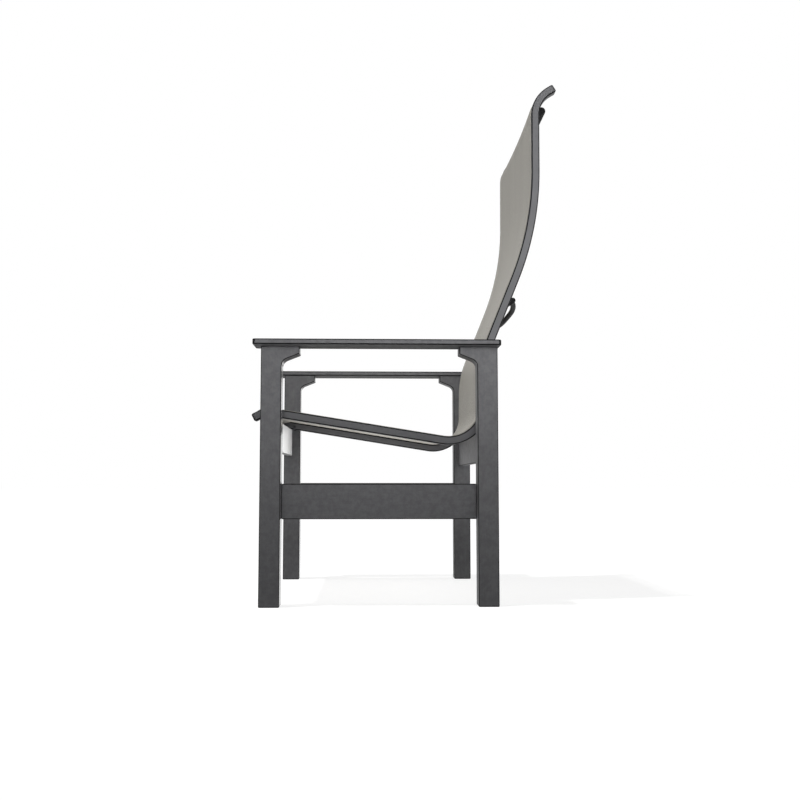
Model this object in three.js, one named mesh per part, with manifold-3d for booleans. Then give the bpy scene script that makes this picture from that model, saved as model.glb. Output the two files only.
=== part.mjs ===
// Sling patio chair: a charcoal polymer-board frame, a pair of bent aluminium sling rails
// and one length of woven sling stretched between them.
// Millimetres, +Z up. The sitter faces -Y, and +X is the sitter's left.
// Inside the model y is counted back from the front edge of the front legs and z up from the floor.
// The finished group is shifted so that its origin is on the floor under the middle of the chair.

import * as THREE from 'three';
import { mergeVertices } from 'three/addons/utils/BufferGeometryUtils.js';
import Module from 'manifold-3d';

const wasm = await Module();
wasm.setup();

// General fits
const SEAT_GAP = 0.3;            // between two pieces that touch
const HOLE_PLAY = 0.3;           // round a screw or bolt, on the radius
const OVERRUN = 2;               // how far a cutting tool runs past the face it opens
const WELD = 0.0005;             // corners this close are one
const DEGREE = Math.PI / 180;

// Legs: one board each, flared at the top to carry the arm
const FRAME_WIDTH = 636;         // outer face to outer face
const LEG_SPREAD = 516;          // front of the front leg to the back of the rear leg
const LEG_WIDTH = 45;            // front to back
const LEG_THICKNESS = 43;        // across the chair
const LEG_HEIGHT = 561;
const LEG_EDGE = 2;
const FLARE_REACH = 39;          // how far the flare runs out under the arm
const FLARE_DEPTH = 16;          // its height at the tip
const FLARE_SLOPE = 21.7 * DEGREE;
const FLARE_FILLET = 17;

// Arms
const ARM_THICKNESS = 12;
const ARM_WIDTH = 78;
const ARM_OUTSET = 32.5;         // past the outer face of the legs
const ARM_FRONT_OVERHANG = 15.5;
const ARM_BACK_OVERHANG = 4.5;
const ARM_CORNER = 7;
const ARM_EDGE = 2;

// Side stretchers, between the front and rear leg of each side
const STRETCHER_HEIGHT = 77;
const STRETCHER_THICKNESS = 15;
const STRETCHER_BASE = 186;
const STRETCHER_RECESS = 28;     // its outer face behind the outer face of the legs
const STRETCHER_EDGE = 1.5;

// Aprons, the boards that join the two sides under the seat
const APRON_HEIGHT = 72;
const APRON_THICKNESS = 15;
const FRONT_APRON_SET = 7.5;     // its front face behind the front of the legs
const REAR_APRON_SET = 14;       // its front face behind the front of the rear legs
const REAR_APRON_CLEAR = 3.8;    // under the rails
const APRON_EDGE = 1.5;
const TENON_LENGTH = 18;
const TENON_THICKNESS = 9;
const TENON_HEIGHT = 52;

// Sling rails: the bends of their centreline in side view
const RAIL_WIDTH = 24;
const RAIL_DEPTH = 18.5;
const RAIL_CORNER = 3.2;
const RAIL_TO_LEG = 9;
const SEAT_RISE = 422.4;         // the front bend above the floor
const SEAT_START = 6.7;          // the front bend behind the front of the legs
const SEAT_DROP = 77.8;          // the rear bend below the front bend
const REAR_BEND_SET = 1.3;       // the rear bend in front of the middle of the rear legs
const LIP_LENGTH = 32.1;
const LIP_SLOPE = 26.6 * DEGREE;
const LIP_RADIUS = 21;
const SEAT_RADIUS = 82;
const UPRIGHT_LENGTH = 209.6;
const UPRIGHT_LEAN = 0.93 * DEGREE;
const LUMBAR_RADIUS = 234;
const RECLINE_LENGTH = 314.8;
const RECLINE_LEAN = 21.9 * DEGREE;
const SHOULDER_RADIUS = 680;
const HEAD_LENGTH = 297.7;
const HEAD_LEAN = 0.33 * DEGREE;
const CURL_RADIUS = 68;
const CURL_LENGTH = 52.5;
const CURL_LEAN = 58.7 * DEGREE;
const ARC_STEP = 9 * DEGREE;
const ARC_FLATNESS = 0.2;        // how far a chord may run inside its arc

// The rail's section: a spline groove that opens on the sitter's side, and a hollow behind it
const GROOVE_INSET = 8;          // slot centre from the outer side of the rail
const GROOVE_SLOT = 2.6;
const GROOVE_RADIUS = 3.6;
const GROOVE_LIP = 1.5;
const GROOVE_SIDES = 9;
const HOLLOW_WALL = 1.8;

// Rail caps
const CAP_THICKNESS = 5;
const CAP_ROUND = 3;
const CAP_CORNER_STEPS = 2;
const CAP_SPIGOT = 12;

// The sling and the splines that hold its edges in the grooves
const SLING_THICKNESS = 1.2;
const SLING_SAG = 4;
const SLING_TURN = 1;            // bend of the cloth into the slot
const FRONT_HEM_SET = 16;        // front hem behind the rail's front end, along the rail
const TOP_HEM_SET = 66;          // top hem below the rail's upper end, along the rail
const SPLINE_PLAY = 0.6;         // in the groove, on the radius
const SPLINE_SIDES = 8;

// Spreader tubes
const TOP_TUBE_RADIUS = 9.5;
const TOP_TUBE_WALL = 1.6;
const TOP_TUBE_SET = 59.5;        // below the rail's upper end, along the rail
const TUBE_BEHIND = 5.6;         // a tube's axis behind the back face of the rails
const LUMBAR_TUBE_RADIUS = 6.3;
const LUMBAR_TUBE_WALL = 1.4;
const LUMBAR_TUBE_SET = 514.5;    // below the rail's upper end, along the rail
const LUMBAR_BOW = 20.6;
const LUMBAR_STUB = 17;          // straight part at each end
const LUMBAR_SIDES = 12;
const LUMBAR_STEPS = 24;
const LUMBAR_POINT_SHARES = [0.92, 0.83, 0.7, 0.54, 0.36, 0.18, 0];
const BOW_POWER = 3;
const PLUG_PLATE = 3;
const PLUG_EDGE = 0.6;
const PLUG_SPIGOT = 10;
const PLUG_SPIGOT_PLAY = 0.6;
const TOP_PLUG_RADIUS = 9;
const LUMBAR_PLUG_RADIUS = 7;
const TOP_SCREW_DROP = 14;       // plug screw below the tube, along the rail
const LUMBAR_SCREW_DROP = 16;

// Fasteners
const WOOD_SCREW = { head: 4.4, shank: 2.1, sink: 3.2, socket: 1.5, socketDepth: 1.8, tip: 5 };
const ARM_SCREW_LENGTH = 55;
const STRETCHER_SCREW_LENGTH = 74;
const STRETCHER_SCREW_INSET = 19; // from the stretcher's edges
const APRON_SCREW_LENGTH = 34;
const BOLT = { head: 4.4, headHeight: 2.8, shank: 2.5, socket: 1.6, socketDepth: 1.6 };
const BOLT_IN_LEG = 26;
const FRONT_BOLT_SET = 32;       // behind the front of the legs
const REAR_BOLT_DROP = 81;       // below the top of the legs
const BUTTON_RIM_SHARE = 0.35;
const BUTTON_CROWN_SHARE = 0.7;
const SPACER_RADIUS = 6.5;
const PLUG_SCREW = { head: 3.4, headHeight: 2.2, shank: 1.9, socket: 1.2, socketDepth: 1.2 };
const PLUG_SCREW_LENGTH = 12;
const ROUND_SIDES = 10;
const TUBE_SIDES = 24;
const CORNER_STEPS = 3;
const SOCKET_SIDES = 6;

// Places that several pieces share
const OUTER_X = FRAME_WIDTH / 2;
const INNER_X = OUTER_X - LEG_THICKNESS;
const LEG_MID_X = OUTER_X - LEG_THICKNESS / 2;
const FRONT_LEG_Y = LEG_WIDTH / 2;
const REAR_LEG_Y = LEG_SPREAD - LEG_WIDTH / 2;
const RAIL_X = INNER_X - RAIL_TO_LEG - RAIL_WIDTH / 2;
const RAIL_INNER_X = RAIL_X - RAIL_WIDTH / 2;
const GROOVE_U = RAIL_WIDTH / 2 - GROOVE_INSET;
const SPLINE_RADIUS = GROOVE_RADIUS - SPLINE_PLAY;
const GROOVE_V = RAIL_DEPTH / 2 - GROOVE_LIP - Math.sqrt(GROOVE_RADIUS ** 2 - (GROOVE_SLOT / 2) ** 2);
const HOLLOW_BACK = -RAIL_DEPTH / 2 + HOLLOW_WALL;
const HOLLOW_FRONT = GROOVE_V - GROOVE_RADIUS - HOLLOW_WALL;
const HOLLOW_V = (HOLLOW_BACK + HOLLOW_FRONT) / 2;

const X_AXIS = new THREE.Vector3(1, 0, 0);
const Y_AXIS = new THREE.Vector3(0, 1, 0);
const Z_AXIS = new THREE.Vector3(0, 0, 1);

// Finishes

const boardFinish = new THREE.MeshStandardMaterial({ color: '#5e5f62', roughness: 0.72, metalness: 0 });
const railFinish = new THREE.MeshStandardMaterial({ color: '#6b6b6f', roughness: 0.5, metalness: 0.25 });
const tubeFinish = new THREE.MeshStandardMaterial({ color: '#343436', roughness: 0.5, metalness: 0.25 });
const slingFinish = new THREE.MeshStandardMaterial({ color: '#96938c', roughness: 0.9, metalness: 0 });
const plasticFinish = new THREE.MeshStandardMaterial({ color: '#242426', roughness: 0.55, metalness: 0 });
const steelFinish = new THREE.MeshStandardMaterial({ color: '#a8a9ab', roughness: 0.35, metalness: 0.9 });

// Solids

function closedMesh(geometry) {
  const bare = geometry.clone();
  bare.deleteAttribute('normal');
  bare.deleteAttribute('uv');
  return mergeVertices(bare, WELD);
}

function toSolid(geometry) {
  const mesh = closedMesh(geometry);
  return new wasm.Manifold(new wasm.Mesh({
    numProp: 3,
    vertProperties: new Float32Array(mesh.attributes.position.array),
    triVerts: new Uint32Array(mesh.index.array),
  }));
}

function toGeometry(solid) {
  const mesh = solid.getMesh();
  const geometry = new THREE.BufferGeometry();
  geometry.setAttribute('position', new THREE.BufferAttribute(new Float32Array(mesh.vertProperties), 3));
  geometry.setIndex(new THREE.BufferAttribute(new Uint32Array(mesh.triVerts), 1));
  return geometry;
}

function cut(geometry, tools) {
  return toGeometry(tools.reduce((solid, tool) => solid.subtract(toSolid(tool)), toSolid(geometry)));
}

function join(geometry, additions) {
  return toGeometry(additions.reduce((solid, extra) => solid.add(toSolid(extra)), toSolid(geometry)));
}

// The same piece for the other side of the chair
function mirrored(geometry) {
  const copy = closedMesh(geometry);
  copy.applyMatrix4(new THREE.Matrix4().makeScale(-1, 1, 1));
  const index = copy.index.array;
  for (let i = 0; i < index.length; i += 3) [index[i], index[i + 1]] = [index[i + 1], index[i]];
  return copy;
}

function block(low, high) {
  const size = new THREE.Vector3().subVectors(high, low);
  const middle = new THREE.Vector3().addVectors(low, high).multiplyScalar(1 / 2);
  return new THREE.BoxGeometry(size.x, size.y, size.z).translate(middle.x, middle.y, middle.z);
}

// A round bar from one point to another
function bar(radius, from, to, sides = ROUND_SIDES) {
  const along = new THREE.Vector3().subVectors(to, from);
  const geometry = new THREE.CylinderGeometry(radius, radius, along.length(), sides);
  geometry.applyQuaternion(new THREE.Quaternion().setFromUnitVectors(Y_AXIS, along.clone().normalize()));
  const middle = new THREE.Vector3().addVectors(from, to).multiplyScalar(1 / 2);
  return geometry.translate(middle.x, middle.y, middle.z);
}

// A flat board with rounded edges, cut from an outline and carried through its thickness.
// right, up and through say which way the outline's x, its y and the thickness run.
function board(outline, thickness, edge, right, up, through, curveSegments = CORNER_STEPS) {
  const geometry = new THREE.ExtrudeGeometry(outline, {
    depth: thickness - 2 * edge,
    bevelThickness: edge,
    bevelSize: edge,
    bevelOffset: -edge,
    bevelSegments: 2,
    curveSegments,
  });
  geometry.translate(0, 0, edge);
  return geometry.applyMatrix4(new THREE.Matrix4().makeBasis(right, up, through));
}

function rectangle(x0, y0, x1, y1) {
  return new THREE.Shape([[x0, y0], [x1, y0], [x1, y1], [x0, y1]].map(([x, y]) => new THREE.Vector2(x, y)));
}

function roundedRectangle(x0, y0, x1, y1, radius) {
  const shape = new THREE.Shape();
  shape.absarc(x1 - radius, y0 + radius, radius, -Math.PI / 2, 0);
  shape.absarc(x1 - radius, y1 - radius, radius, 0, Math.PI / 2);
  shape.absarc(x0 + radius, y1 - radius, radius, Math.PI / 2, Math.PI);
  shape.absarc(x0 + radius, y0 + radius, radius, Math.PI, 1.5 * Math.PI);
  return shape;
}

// Fasteners: turned about +Y with the head at the top, then pointed outward

function countersunkScrew(size, length) {
  const neck = size.head - size.shank;
  const profile = [
    [0, -length], [size.shank / 2, size.tip / 2 - length], [size.shank, size.tip - length],
    [size.shank, -Math.max(neck, size.sink)], [size.head, 0], [0, 0],
  ].map(([x, y]) => new THREE.Vector2(x, y));
  return socketed(new THREE.LatheGeometry(profile, ROUND_SIDES), size, 0);
}

function buttonBolt(size, length) {
  const profile = [
    [0, -length], [size.shank, -length], [size.shank, 0], [size.head, 0],
    [size.head, size.headHeight * BUTTON_RIM_SHARE], [size.head * BUTTON_CROWN_SHARE, size.headHeight],
    [0, size.headHeight],
  ].map(([x, y]) => new THREE.Vector2(x, y));
  return socketed(new THREE.LatheGeometry(profile, ROUND_SIDES), size, size.headHeight);
}

function socketed(geometry, size, top) {
  const foot = new THREE.Vector3(0, top - size.socketDepth, 0);
  return cut(geometry, [bar(size.socket, foot, new THREE.Vector3(0, top + OVERRUN, 0), SOCKET_SIDES)]);
}

// The hole that a countersunk screw needs, from its head's face inward
function countersunkHole(size, length, place, outward) {
  const foot = place.clone().addScaledVector(outward, -length - HOLE_PLAY);
  const mouth = place.clone().addScaledVector(outward, OVERRUN);
  const radius = size.shank + HOLE_PLAY;
  const rim = size.head + HOLE_PLAY;
  const depth = Math.max(size.head - size.shank, size.sink);
  const cone = new THREE.LatheGeometry([
    new THREE.Vector2(0, -depth - HOLE_PLAY), new THREE.Vector2(radius, -depth - HOLE_PLAY),
    new THREE.Vector2(rim, 0), new THREE.Vector2(rim, OVERRUN), new THREE.Vector2(0, OVERRUN),
  ], ROUND_SIDES);
  cone.applyQuaternion(new THREE.Quaternion().setFromUnitVectors(Y_AXIS, outward));
  cone.translate(place.x, place.y, place.z);
  return [bar(radius, foot, mouth), cone];
}

// The rail's path, as a bender would set it out: corners with a radius, then arcs between straights

function stepFrom(corner, length, lean) {
  return { y: corner.y + length * Math.sin(lean), z: corner.z + length * Math.cos(lean) };
}

const frontBend = { y: SEAT_START, z: SEAT_RISE, radius: LIP_RADIUS };
const rearBend = {
  y: REAR_LEG_Y - REAR_BEND_SET,
  z: SEAT_RISE - SEAT_DROP,
  radius: SEAT_RADIUS,
};
const lumbarBend = { ...stepFrom(rearBend, UPRIGHT_LENGTH, UPRIGHT_LEAN), radius: LUMBAR_RADIUS };
const shoulderBend = { ...stepFrom(lumbarBend, RECLINE_LENGTH, RECLINE_LEAN), radius: SHOULDER_RADIUS };
const curlBend = { ...stepFrom(shoulderBend, HEAD_LENGTH, HEAD_LEAN), radius: CURL_RADIUS };
const lipEnd = {
  y: frontBend.y - LIP_LENGTH * Math.cos(LIP_SLOPE),
  z: frontBend.z - LIP_LENGTH * Math.sin(LIP_SLOPE),
};
const railCorners = [
  lipEnd, frontBend, rearBend, lumbarBend, shoulderBend, curlBend,
  stepFrom(curlBend, CURL_LENGTH, CURL_LEAN),
];

// Stations along the path: a point, the way the path runs, and its distance from the front end
function bentPath(corners) {
  const points = [];
  const heading = (a, b) => Math.atan2(b.z - a.z, b.y - a.y);
  const last = corners.length - 1;
  points.push({ y: corners[0].y, z: corners[0].z, turn: heading(corners[0], corners[1]) });
  for (let i = 1; i < last; i += 1) {
    const from = heading(corners[i - 1], corners[i]);
    const to = heading(corners[i], corners[i + 1]);
    const sweep = to - from;
    const tangent = corners[i].radius * Math.tan(Math.abs(sweep) / 2);
    const start = {
      y: corners[i].y - tangent * Math.cos(from),
      z: corners[i].z - tangent * Math.sin(from),
    };
    const side = Math.sign(sweep) * corners[i].radius;
    const finest = 2 * Math.acos(1 - ARC_FLATNESS / corners[i].radius);
    const steps = Math.ceil(Math.abs(sweep) / Math.min(ARC_STEP, finest));
    for (let k = 0; k <= steps; k += 1) {
      const turn = from + sweep * k / steps;
      points.push({
        y: start.y + side * (Math.sin(turn) - Math.sin(from)),
        z: start.z - side * (Math.cos(turn) - Math.cos(from)),
        turn,
      });
    }
  }
  points.push({ y: corners[last].y, z: corners[last].z, turn: heading(corners[last - 1], corners[last]) });
  let run = 0;
  return points.map((point, i) => {
    if (i > 0) run += Math.hypot(point.y - points[i - 1].y, point.z - points[i - 1].z);
    return { ...point, run };
  });
}

const railPath = bentPath(railCorners);
const railLength = railPath[railPath.length - 1].run;

function stationAt(run) {
  const i = Math.max(1, railPath.findIndex((station) => station.run >= run));
  const [a, b] = [railPath[i - 1], railPath[i]];
  const share = (run - a.run) / (b.run - a.run);
  const mix = (name) => a[name] + (b[name] - a[name]) * share;
  return { y: mix('y'), z: mix('z'), turn: mix('turn'), run };
}

function stretch(from, to) {
  const between = railPath.filter((station) => station.run > from + SEAT_GAP && station.run < to - SEAT_GAP);
  return [stationAt(from), ...between, stationAt(to)];
}

// A place on a station: x across the chair, v out of the rail towards the sitter
function placeOn(station, x, v) {
  return new THREE.Vector3(x, station.y - Math.sin(station.turn) * v, station.z + Math.cos(station.turn) * v);
}

// The run at which the centreline passes a given y in the seat, or a given height in the back
function runAtSeat(y) {
  const i = railPath.findIndex((station) => station.y >= y);
  const [a, b] = [railPath[i - 1], railPath[i]];
  return a.run + (b.run - a.run) * (y - a.y) / (b.y - a.y);
}

function runAtBack(z) {
  const i = railPath.findIndex((station, n) => n > 0 && station.y > REAR_LEG_Y - LEG_WIDTH && station.z >= z);
  const [a, b] = [railPath[i - 1], railPath[i]];
  return a.run + (b.run - a.run) * (z - a.z) / (b.z - a.z);
}

// The height of the rail's underside at a given y in the seat
function undersideAt(y) {
  const line = railPath.map((station) => placeOn(station, 0, -RAIL_DEPTH / 2));
  const i = line.findIndex((point) => point.y >= y);
  const [a, b] = [line[i - 1], line[i]];
  return a.z + (b.z - a.z) * (y - a.y) / (b.y - a.y);
}

// A section carried along stations of the rail's path. The contours hold [x, v] pairs:
// the first is the outline, and any others are hollows that run right through.
function carried(contours, stations) {
  const loops = contours.map((contour, n) => {
    const points = contour.map(([x, v]) => new THREE.Vector2(x, v));
    const clockwise = THREE.ShapeUtils.isClockWise(points);
    return clockwise === (n === 0) ? points.reverse() : points;
  });
  const flat = loops.flat();
  const position = stations.flatMap((station) => flat.flatMap(({ x, y }) => placeOn(station, x, y).toArray()));
  const index = [];
  const size = flat.length;
  for (let s = 0; s + 1 < stations.length; s += 1) {
    let first = 0;
    for (const loop of loops) {
      for (let k = 0; k < loop.length; k += 1) {
        const a = s * size + first + k;
        const b = s * size + first + (k + 1) % loop.length;
        index.push(a, a + size, b, b, a + size, b + size);
      }
      first += loop.length;
    }
  }
  const far = (stations.length - 1) * size;
  for (const [a, b, c] of THREE.ShapeUtils.triangulateShape(loops[0], loops.slice(1))) {
    index.push(a, b, c, far + a, far + c, far + b);
  }
  const geometry = new THREE.BufferGeometry();
  geometry.setAttribute('position', new THREE.Float32BufferAttribute(position, 3));
  geometry.setIndex(index);
  return geometry;
}

// Pieces of the frame

const frontBolt = placeOn(stationAt(runAtSeat(FRONT_BOLT_SET)), RAIL_X, HOLLOW_V);
const rearBolt = placeOn(stationAt(runAtBack(LEG_HEIGHT - REAR_BOLT_DROP)), RAIL_X, HOLLOW_V);

// Each apron's top is set under the lowest part of the rails that pass over it
const rearApronFront = LEG_SPREAD - LEG_WIDTH + REAR_APRON_SET;
const FRONT_APRON = {
  front: FRONT_APRON_SET,
  base: undersideAt(FRONT_APRON_SET + APRON_THICKNESS) - SEAT_GAP - APRON_HEIGHT,
};
const REAR_APRON = {
  front: rearApronFront,
  base: undersideAt(rearApronFront) - REAR_APRON_CLEAR - APRON_HEIGHT,
};

const stretcherX = OUTER_X - STRETCHER_RECESS - STRETCHER_THICKNESS / 2;
const stretcherScrewHeights = [
  STRETCHER_BASE + STRETCHER_SCREW_INSET,
  STRETCHER_BASE + STRETCHER_HEIGHT - STRETCHER_SCREW_INSET,
];
const apronScrewX = INNER_X + TENON_LENGTH / 2;

function apronMiddle(apron) {
  return new THREE.Vector3(0, apron.front + APRON_THICKNESS / 2, apron.base + APRON_HEIGHT / 2);
}

// Everything that fixes one left leg: where it is, and which way it points
function legFixings(isFront) {
  const face = isFront ? 0 : LEG_SPREAD;
  const outward = Y_AXIS.clone().multiplyScalar(isFront ? -1 : 1);
  const legY = isFront ? FRONT_LEG_Y : REAR_LEG_Y;
  const apron = apronMiddle(isFront ? FRONT_APRON : REAR_APRON);
  return {
    face,
    outward,
    apron,
    apronScrew: new THREE.Vector3(apronScrewX, face, apron.z),
    stretcherScrews: stretcherScrewHeights.map((z) => new THREE.Vector3(stretcherX, face, z)),
    armScrew: new THREE.Vector3(LEG_MID_X, legY, LEG_HEIGHT + SEAT_GAP + ARM_THICKNESS),
    bolt: isFront ? frontBolt : rearBolt,
  };
}

// The board's outline in side view, with the flare's underside filleted into the leg
function legOutline(isFront) {
  const way = isFront ? 1 : -1;
  const back = isFront ? 0 : LEG_SPREAD;
  const at = (across, z) => new THREE.Vector2(back + way * across, z);
  const tip = LEG_WIDTH + FLARE_REACH;
  const tipBase = LEG_HEIGHT - FLARE_DEPTH;
  const cornerZ = tipBase - FLARE_REACH * Math.tan(FLARE_SLOPE);
  const reach = FLARE_FILLET * Math.tan((Math.PI / 2 - FLARE_SLOPE) / 2);
  const centre = at(LEG_WIDTH + FLARE_FILLET, cornerZ - reach);
  const shape = new THREE.Shape();
  shape.moveTo(...at(0, 0).toArray());
  shape.lineTo(...at(LEG_WIDTH, 0).toArray());
  shape.lineTo(...at(LEG_WIDTH, cornerZ - reach).toArray());
  const start = isFront ? Math.PI : 0;
  const end = isFront ? Math.PI / 2 + FLARE_SLOPE : Math.PI / 2 - FLARE_SLOPE;
  shape.absarc(centre.x, centre.y, FLARE_FILLET, start, end, isFront);
  shape.lineTo(...at(tip, tipBase).toArray());
  shape.lineTo(...at(tip, LEG_HEIGHT).toArray());
  shape.lineTo(...at(0, LEG_HEIGHT).toArray());
  return shape;
}

function leg(isFront) {
  const fixings = legFixings(isFront);
  const body = board(legOutline(isFront), LEG_THICKNESS, LEG_EDGE, Y_AXIS, Z_AXIS, X_AXIS);
  body.translate(INNER_X, 0, 0);
  const tenon = new THREE.Vector3(TENON_LENGTH, TENON_THICKNESS / 2, TENON_HEIGHT / 2).addScalar(SEAT_GAP);
  const mortise = block(
    new THREE.Vector3(INNER_X - OVERRUN, fixings.apron.y - tenon.y, fixings.apron.z - tenon.z),
    new THREE.Vector3(INNER_X + tenon.x, fixings.apron.y + tenon.y, fixings.apron.z + tenon.z),
  );
  const boltEnd = fixings.bolt.clone().setX(INNER_X + BOLT_IN_LEG + HOLE_PLAY);
  const boltHole = bar(BOLT.shank + HOLE_PLAY, fixings.bolt.clone().setX(INNER_X - OVERRUN), boltEnd);
  const armHole = bar(
    WOOD_SCREW.shank + HOLE_PLAY,
    fixings.armScrew.clone().setZ(fixings.armScrew.z - ARM_SCREW_LENGTH - HOLE_PLAY),
    fixings.armScrew,
  );
  return cut(body, [
    mortise, boltHole, armHole,
    ...countersunkHole(WOOD_SCREW, APRON_SCREW_LENGTH, fixings.apronScrew, fixings.outward),
    ...fixings.stretcherScrews.flatMap(
      (place) => countersunkHole(WOOD_SCREW, STRETCHER_SCREW_LENGTH, place, fixings.outward),
    ),
  ]);
}

function arm() {
  const outer = OUTER_X + ARM_OUTSET;
  const outline = roundedRectangle(
    outer - ARM_WIDTH, -ARM_FRONT_OVERHANG, outer, LEG_SPREAD + ARM_BACK_OVERHANG, ARM_CORNER,
  );
  const body = board(outline, ARM_THICKNESS, ARM_EDGE, X_AXIS, Y_AXIS, Z_AXIS);
  body.translate(0, 0, LEG_HEIGHT + SEAT_GAP);
  return cut(body, [true, false].flatMap(
    (isFront) => countersunkHole(WOOD_SCREW, ARM_SCREW_LENGTH, legFixings(isFront).armScrew, Z_AXIS),
  ));
}

function stretcher() {
  const outline = rectangle(
    LEG_WIDTH + SEAT_GAP, STRETCHER_BASE, LEG_SPREAD - LEG_WIDTH - SEAT_GAP, STRETCHER_BASE + STRETCHER_HEIGHT,
  );
  const body = board(outline, STRETCHER_THICKNESS, STRETCHER_EDGE, Y_AXIS, Z_AXIS, X_AXIS);
  body.translate(stretcherX - STRETCHER_THICKNESS / 2, 0, 0);
  return cut(body, [true, false].flatMap((isFront) => {
    const { stretcherScrews, outward } = legFixings(isFront);
    return stretcherScrews.map((place) => bar(
      WOOD_SCREW.shank + HOLE_PLAY,
      place.clone().addScaledVector(outward, -STRETCHER_SCREW_LENGTH - HOLE_PLAY),
      place,
    ));
  }));
}

function apron(isFront) {
  const { front, base } = isFront ? FRONT_APRON : REAR_APRON;
  const half = INNER_X - SEAT_GAP;
  const body = board(
    rectangle(-half, base, half, base + APRON_HEIGHT), APRON_THICKNESS, APRON_EDGE,
    X_AXIS, Z_AXIS, Y_AXIS.clone().negate(),
  );
  body.translate(0, front + APRON_THICKNESS, 0);
  const middle = apronMiddle({ front, base });
  const reach = new THREE.Vector3(INNER_X + TENON_LENGTH, TENON_THICKNESS / 2, TENON_HEIGHT / 2);
  const tenons = block(middle.clone().sub(reach), middle.clone().add(reach));
  const holes = [-1, 1].map((side) => {
    const { apronScrew, outward } = legFixings(isFront);
    const place = apronScrew.clone().setX(side * apronScrew.x);
    const foot = place.clone().addScaledVector(outward, -APRON_SCREW_LENGTH - OVERRUN);
    return bar(WOOD_SCREW.shank + HOLE_PLAY, place, foot);
  });
  return cut(join(body, [tenons]), holes);
}

// Pieces of the rails

function grooveSection() {
  const outline = roundedRectangle(
    -RAIL_WIDTH / 2, -RAIL_DEPTH / 2, RAIL_WIDTH / 2, RAIL_DEPTH / 2, RAIL_CORNER,
  ).getPoints(2).map(({ x, y }) => [x, y]);
  const mouth = Math.asin(GROOVE_SLOT / 2 / GROOVE_RADIUS);
  const bore = [];
  for (let k = 0; k <= GROOVE_SIDES; k += 1) {
    const angle = Math.PI / 2 - mouth - (2 * Math.PI - 2 * mouth) * k / GROOVE_SIDES;
    bore.push([GROOVE_U + GROOVE_RADIUS * Math.cos(angle), GROOVE_V + GROOVE_RADIUS * Math.sin(angle)]);
  }
  const top = RAIL_DEPTH / 2;
  const upper = outline.findIndex(([x, y]) => y > top - SEAT_GAP && x < GROOVE_U);
  return [
    ...outline.slice(0, upper),
    [GROOVE_U + GROOVE_SLOT / 2, top],
    ...bore,
    [GROOVE_U - GROOVE_SLOT / 2, top],
    ...outline.slice(upper),
  ];
}

function hollowSection() {
  const half = RAIL_WIDTH / 2 - HOLLOW_WALL;
  return [[-half, HOLLOW_BACK], [half, HOLLOW_BACK], [half, HOLLOW_FRONT], [-half, HOLLOW_FRONT]];
}

const TUBE_V = -RAIL_DEPTH / 2 - TUBE_BEHIND;
const topTube = placeOn(stationAt(railLength - TOP_TUBE_SET), 0, TUBE_V);
const topPlugScrew = placeOn(stationAt(railLength - TOP_TUBE_SET - TOP_SCREW_DROP), 0, HOLLOW_V);
const lumbarRun = railLength - LUMBAR_TUBE_SET;
const lumbarTube = placeOn(stationAt(lumbarRun), 0, TUBE_V);
const lumbarPlugScrew = placeOn(stationAt(lumbarRun - LUMBAR_SCREW_DROP), 0, HOLLOW_V);

const plugFace = RAIL_INNER_X - SEAT_GAP;
const plugBack = plugFace - PLUG_PLATE;
const tubeEnd = plugBack - SEAT_GAP;

function rail() {
  const shift = (contour) => contour.map(([u, v]) => [RAIL_X + u, v]);
  const body = carried([shift(grooveSection()), shift(hollowSection())],
    stretch(CAP_THICKNESS + SEAT_GAP, railLength - CAP_THICKNESS - SEAT_GAP));
  const bolts = [frontBolt, rearBolt].map((bolt) => bar(
    BOLT.shank + HOLE_PLAY,
    bolt.clone().setX(RAIL_INNER_X - OVERRUN),
    bolt.clone().setX(RAIL_INNER_X + RAIL_WIDTH + OVERRUN),
  ));
  const screws = [topPlugScrew, lumbarPlugScrew].map((screw) => bar(
    PLUG_SCREW.shank + HOLE_PLAY,
    screw.clone().setX(RAIL_INNER_X - OVERRUN),
    screw.clone().setX(plugBack + PLUG_SCREW_LENGTH + HOLE_PLAY),
  ));
  return cut(body, [...bolts, ...screws]);
}

// A moulded cap with the rail's own outline, rounded off at its outer end.
// A spigot fills the rail's hollow.
function railCap(isTop) {
  const station = stationAt(isTop ? railLength : 0);
  const half = new THREE.Vector2(RAIL_WIDTH, RAIL_DEPTH).multiplyScalar(1 / 2);
  const lens = board(
    roundedRectangle(-half.x, -half.y, half.x, half.y, RAIL_CORNER), 2 * CAP_THICKNESS, CAP_ROUND,
    X_AXIS, Y_AXIS, Z_AXIS, CAP_CORNER_STEPS,
  ).translate(0, 0, -CAP_THICKNESS);
  const innerHalf = block(
    new THREE.Vector3(-RAIL_WIDTH, -RAIL_DEPTH, -RAIL_WIDTH), new THREE.Vector3(RAIL_WIDTH, RAIL_DEPTH, 0),
  );
  const inside = RAIL_WIDTH / 2 - HOLLOW_WALL - SEAT_GAP;
  const spigot = block(
    new THREE.Vector3(-inside, HOLLOW_BACK + SEAT_GAP, -CAP_SPIGOT),
    new THREE.Vector3(inside, HOLLOW_FRONT - SEAT_GAP, CAP_THICKNESS / 2),
  );
  // Up the cap is towards the sitter, and through it runs out of the rail's end
  const way = isTop ? 1 : -1;
  const out = new THREE.Vector3(0, way * Math.cos(station.turn), way * Math.sin(station.turn));
  const up = new THREE.Vector3(0, -Math.sin(station.turn), Math.cos(station.turn));
  const right = new THREE.Vector3().crossVectors(up, out);
  const turned = new THREE.Matrix4().makeBasis(right, up, out);
  turned.setPosition(placeOn(station, RAIL_X, 0).addScaledVector(out, -CAP_THICKNESS));
  return join(cut(lens, [innerHalf]), [spigot]).applyMatrix4(turned);
}

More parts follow.
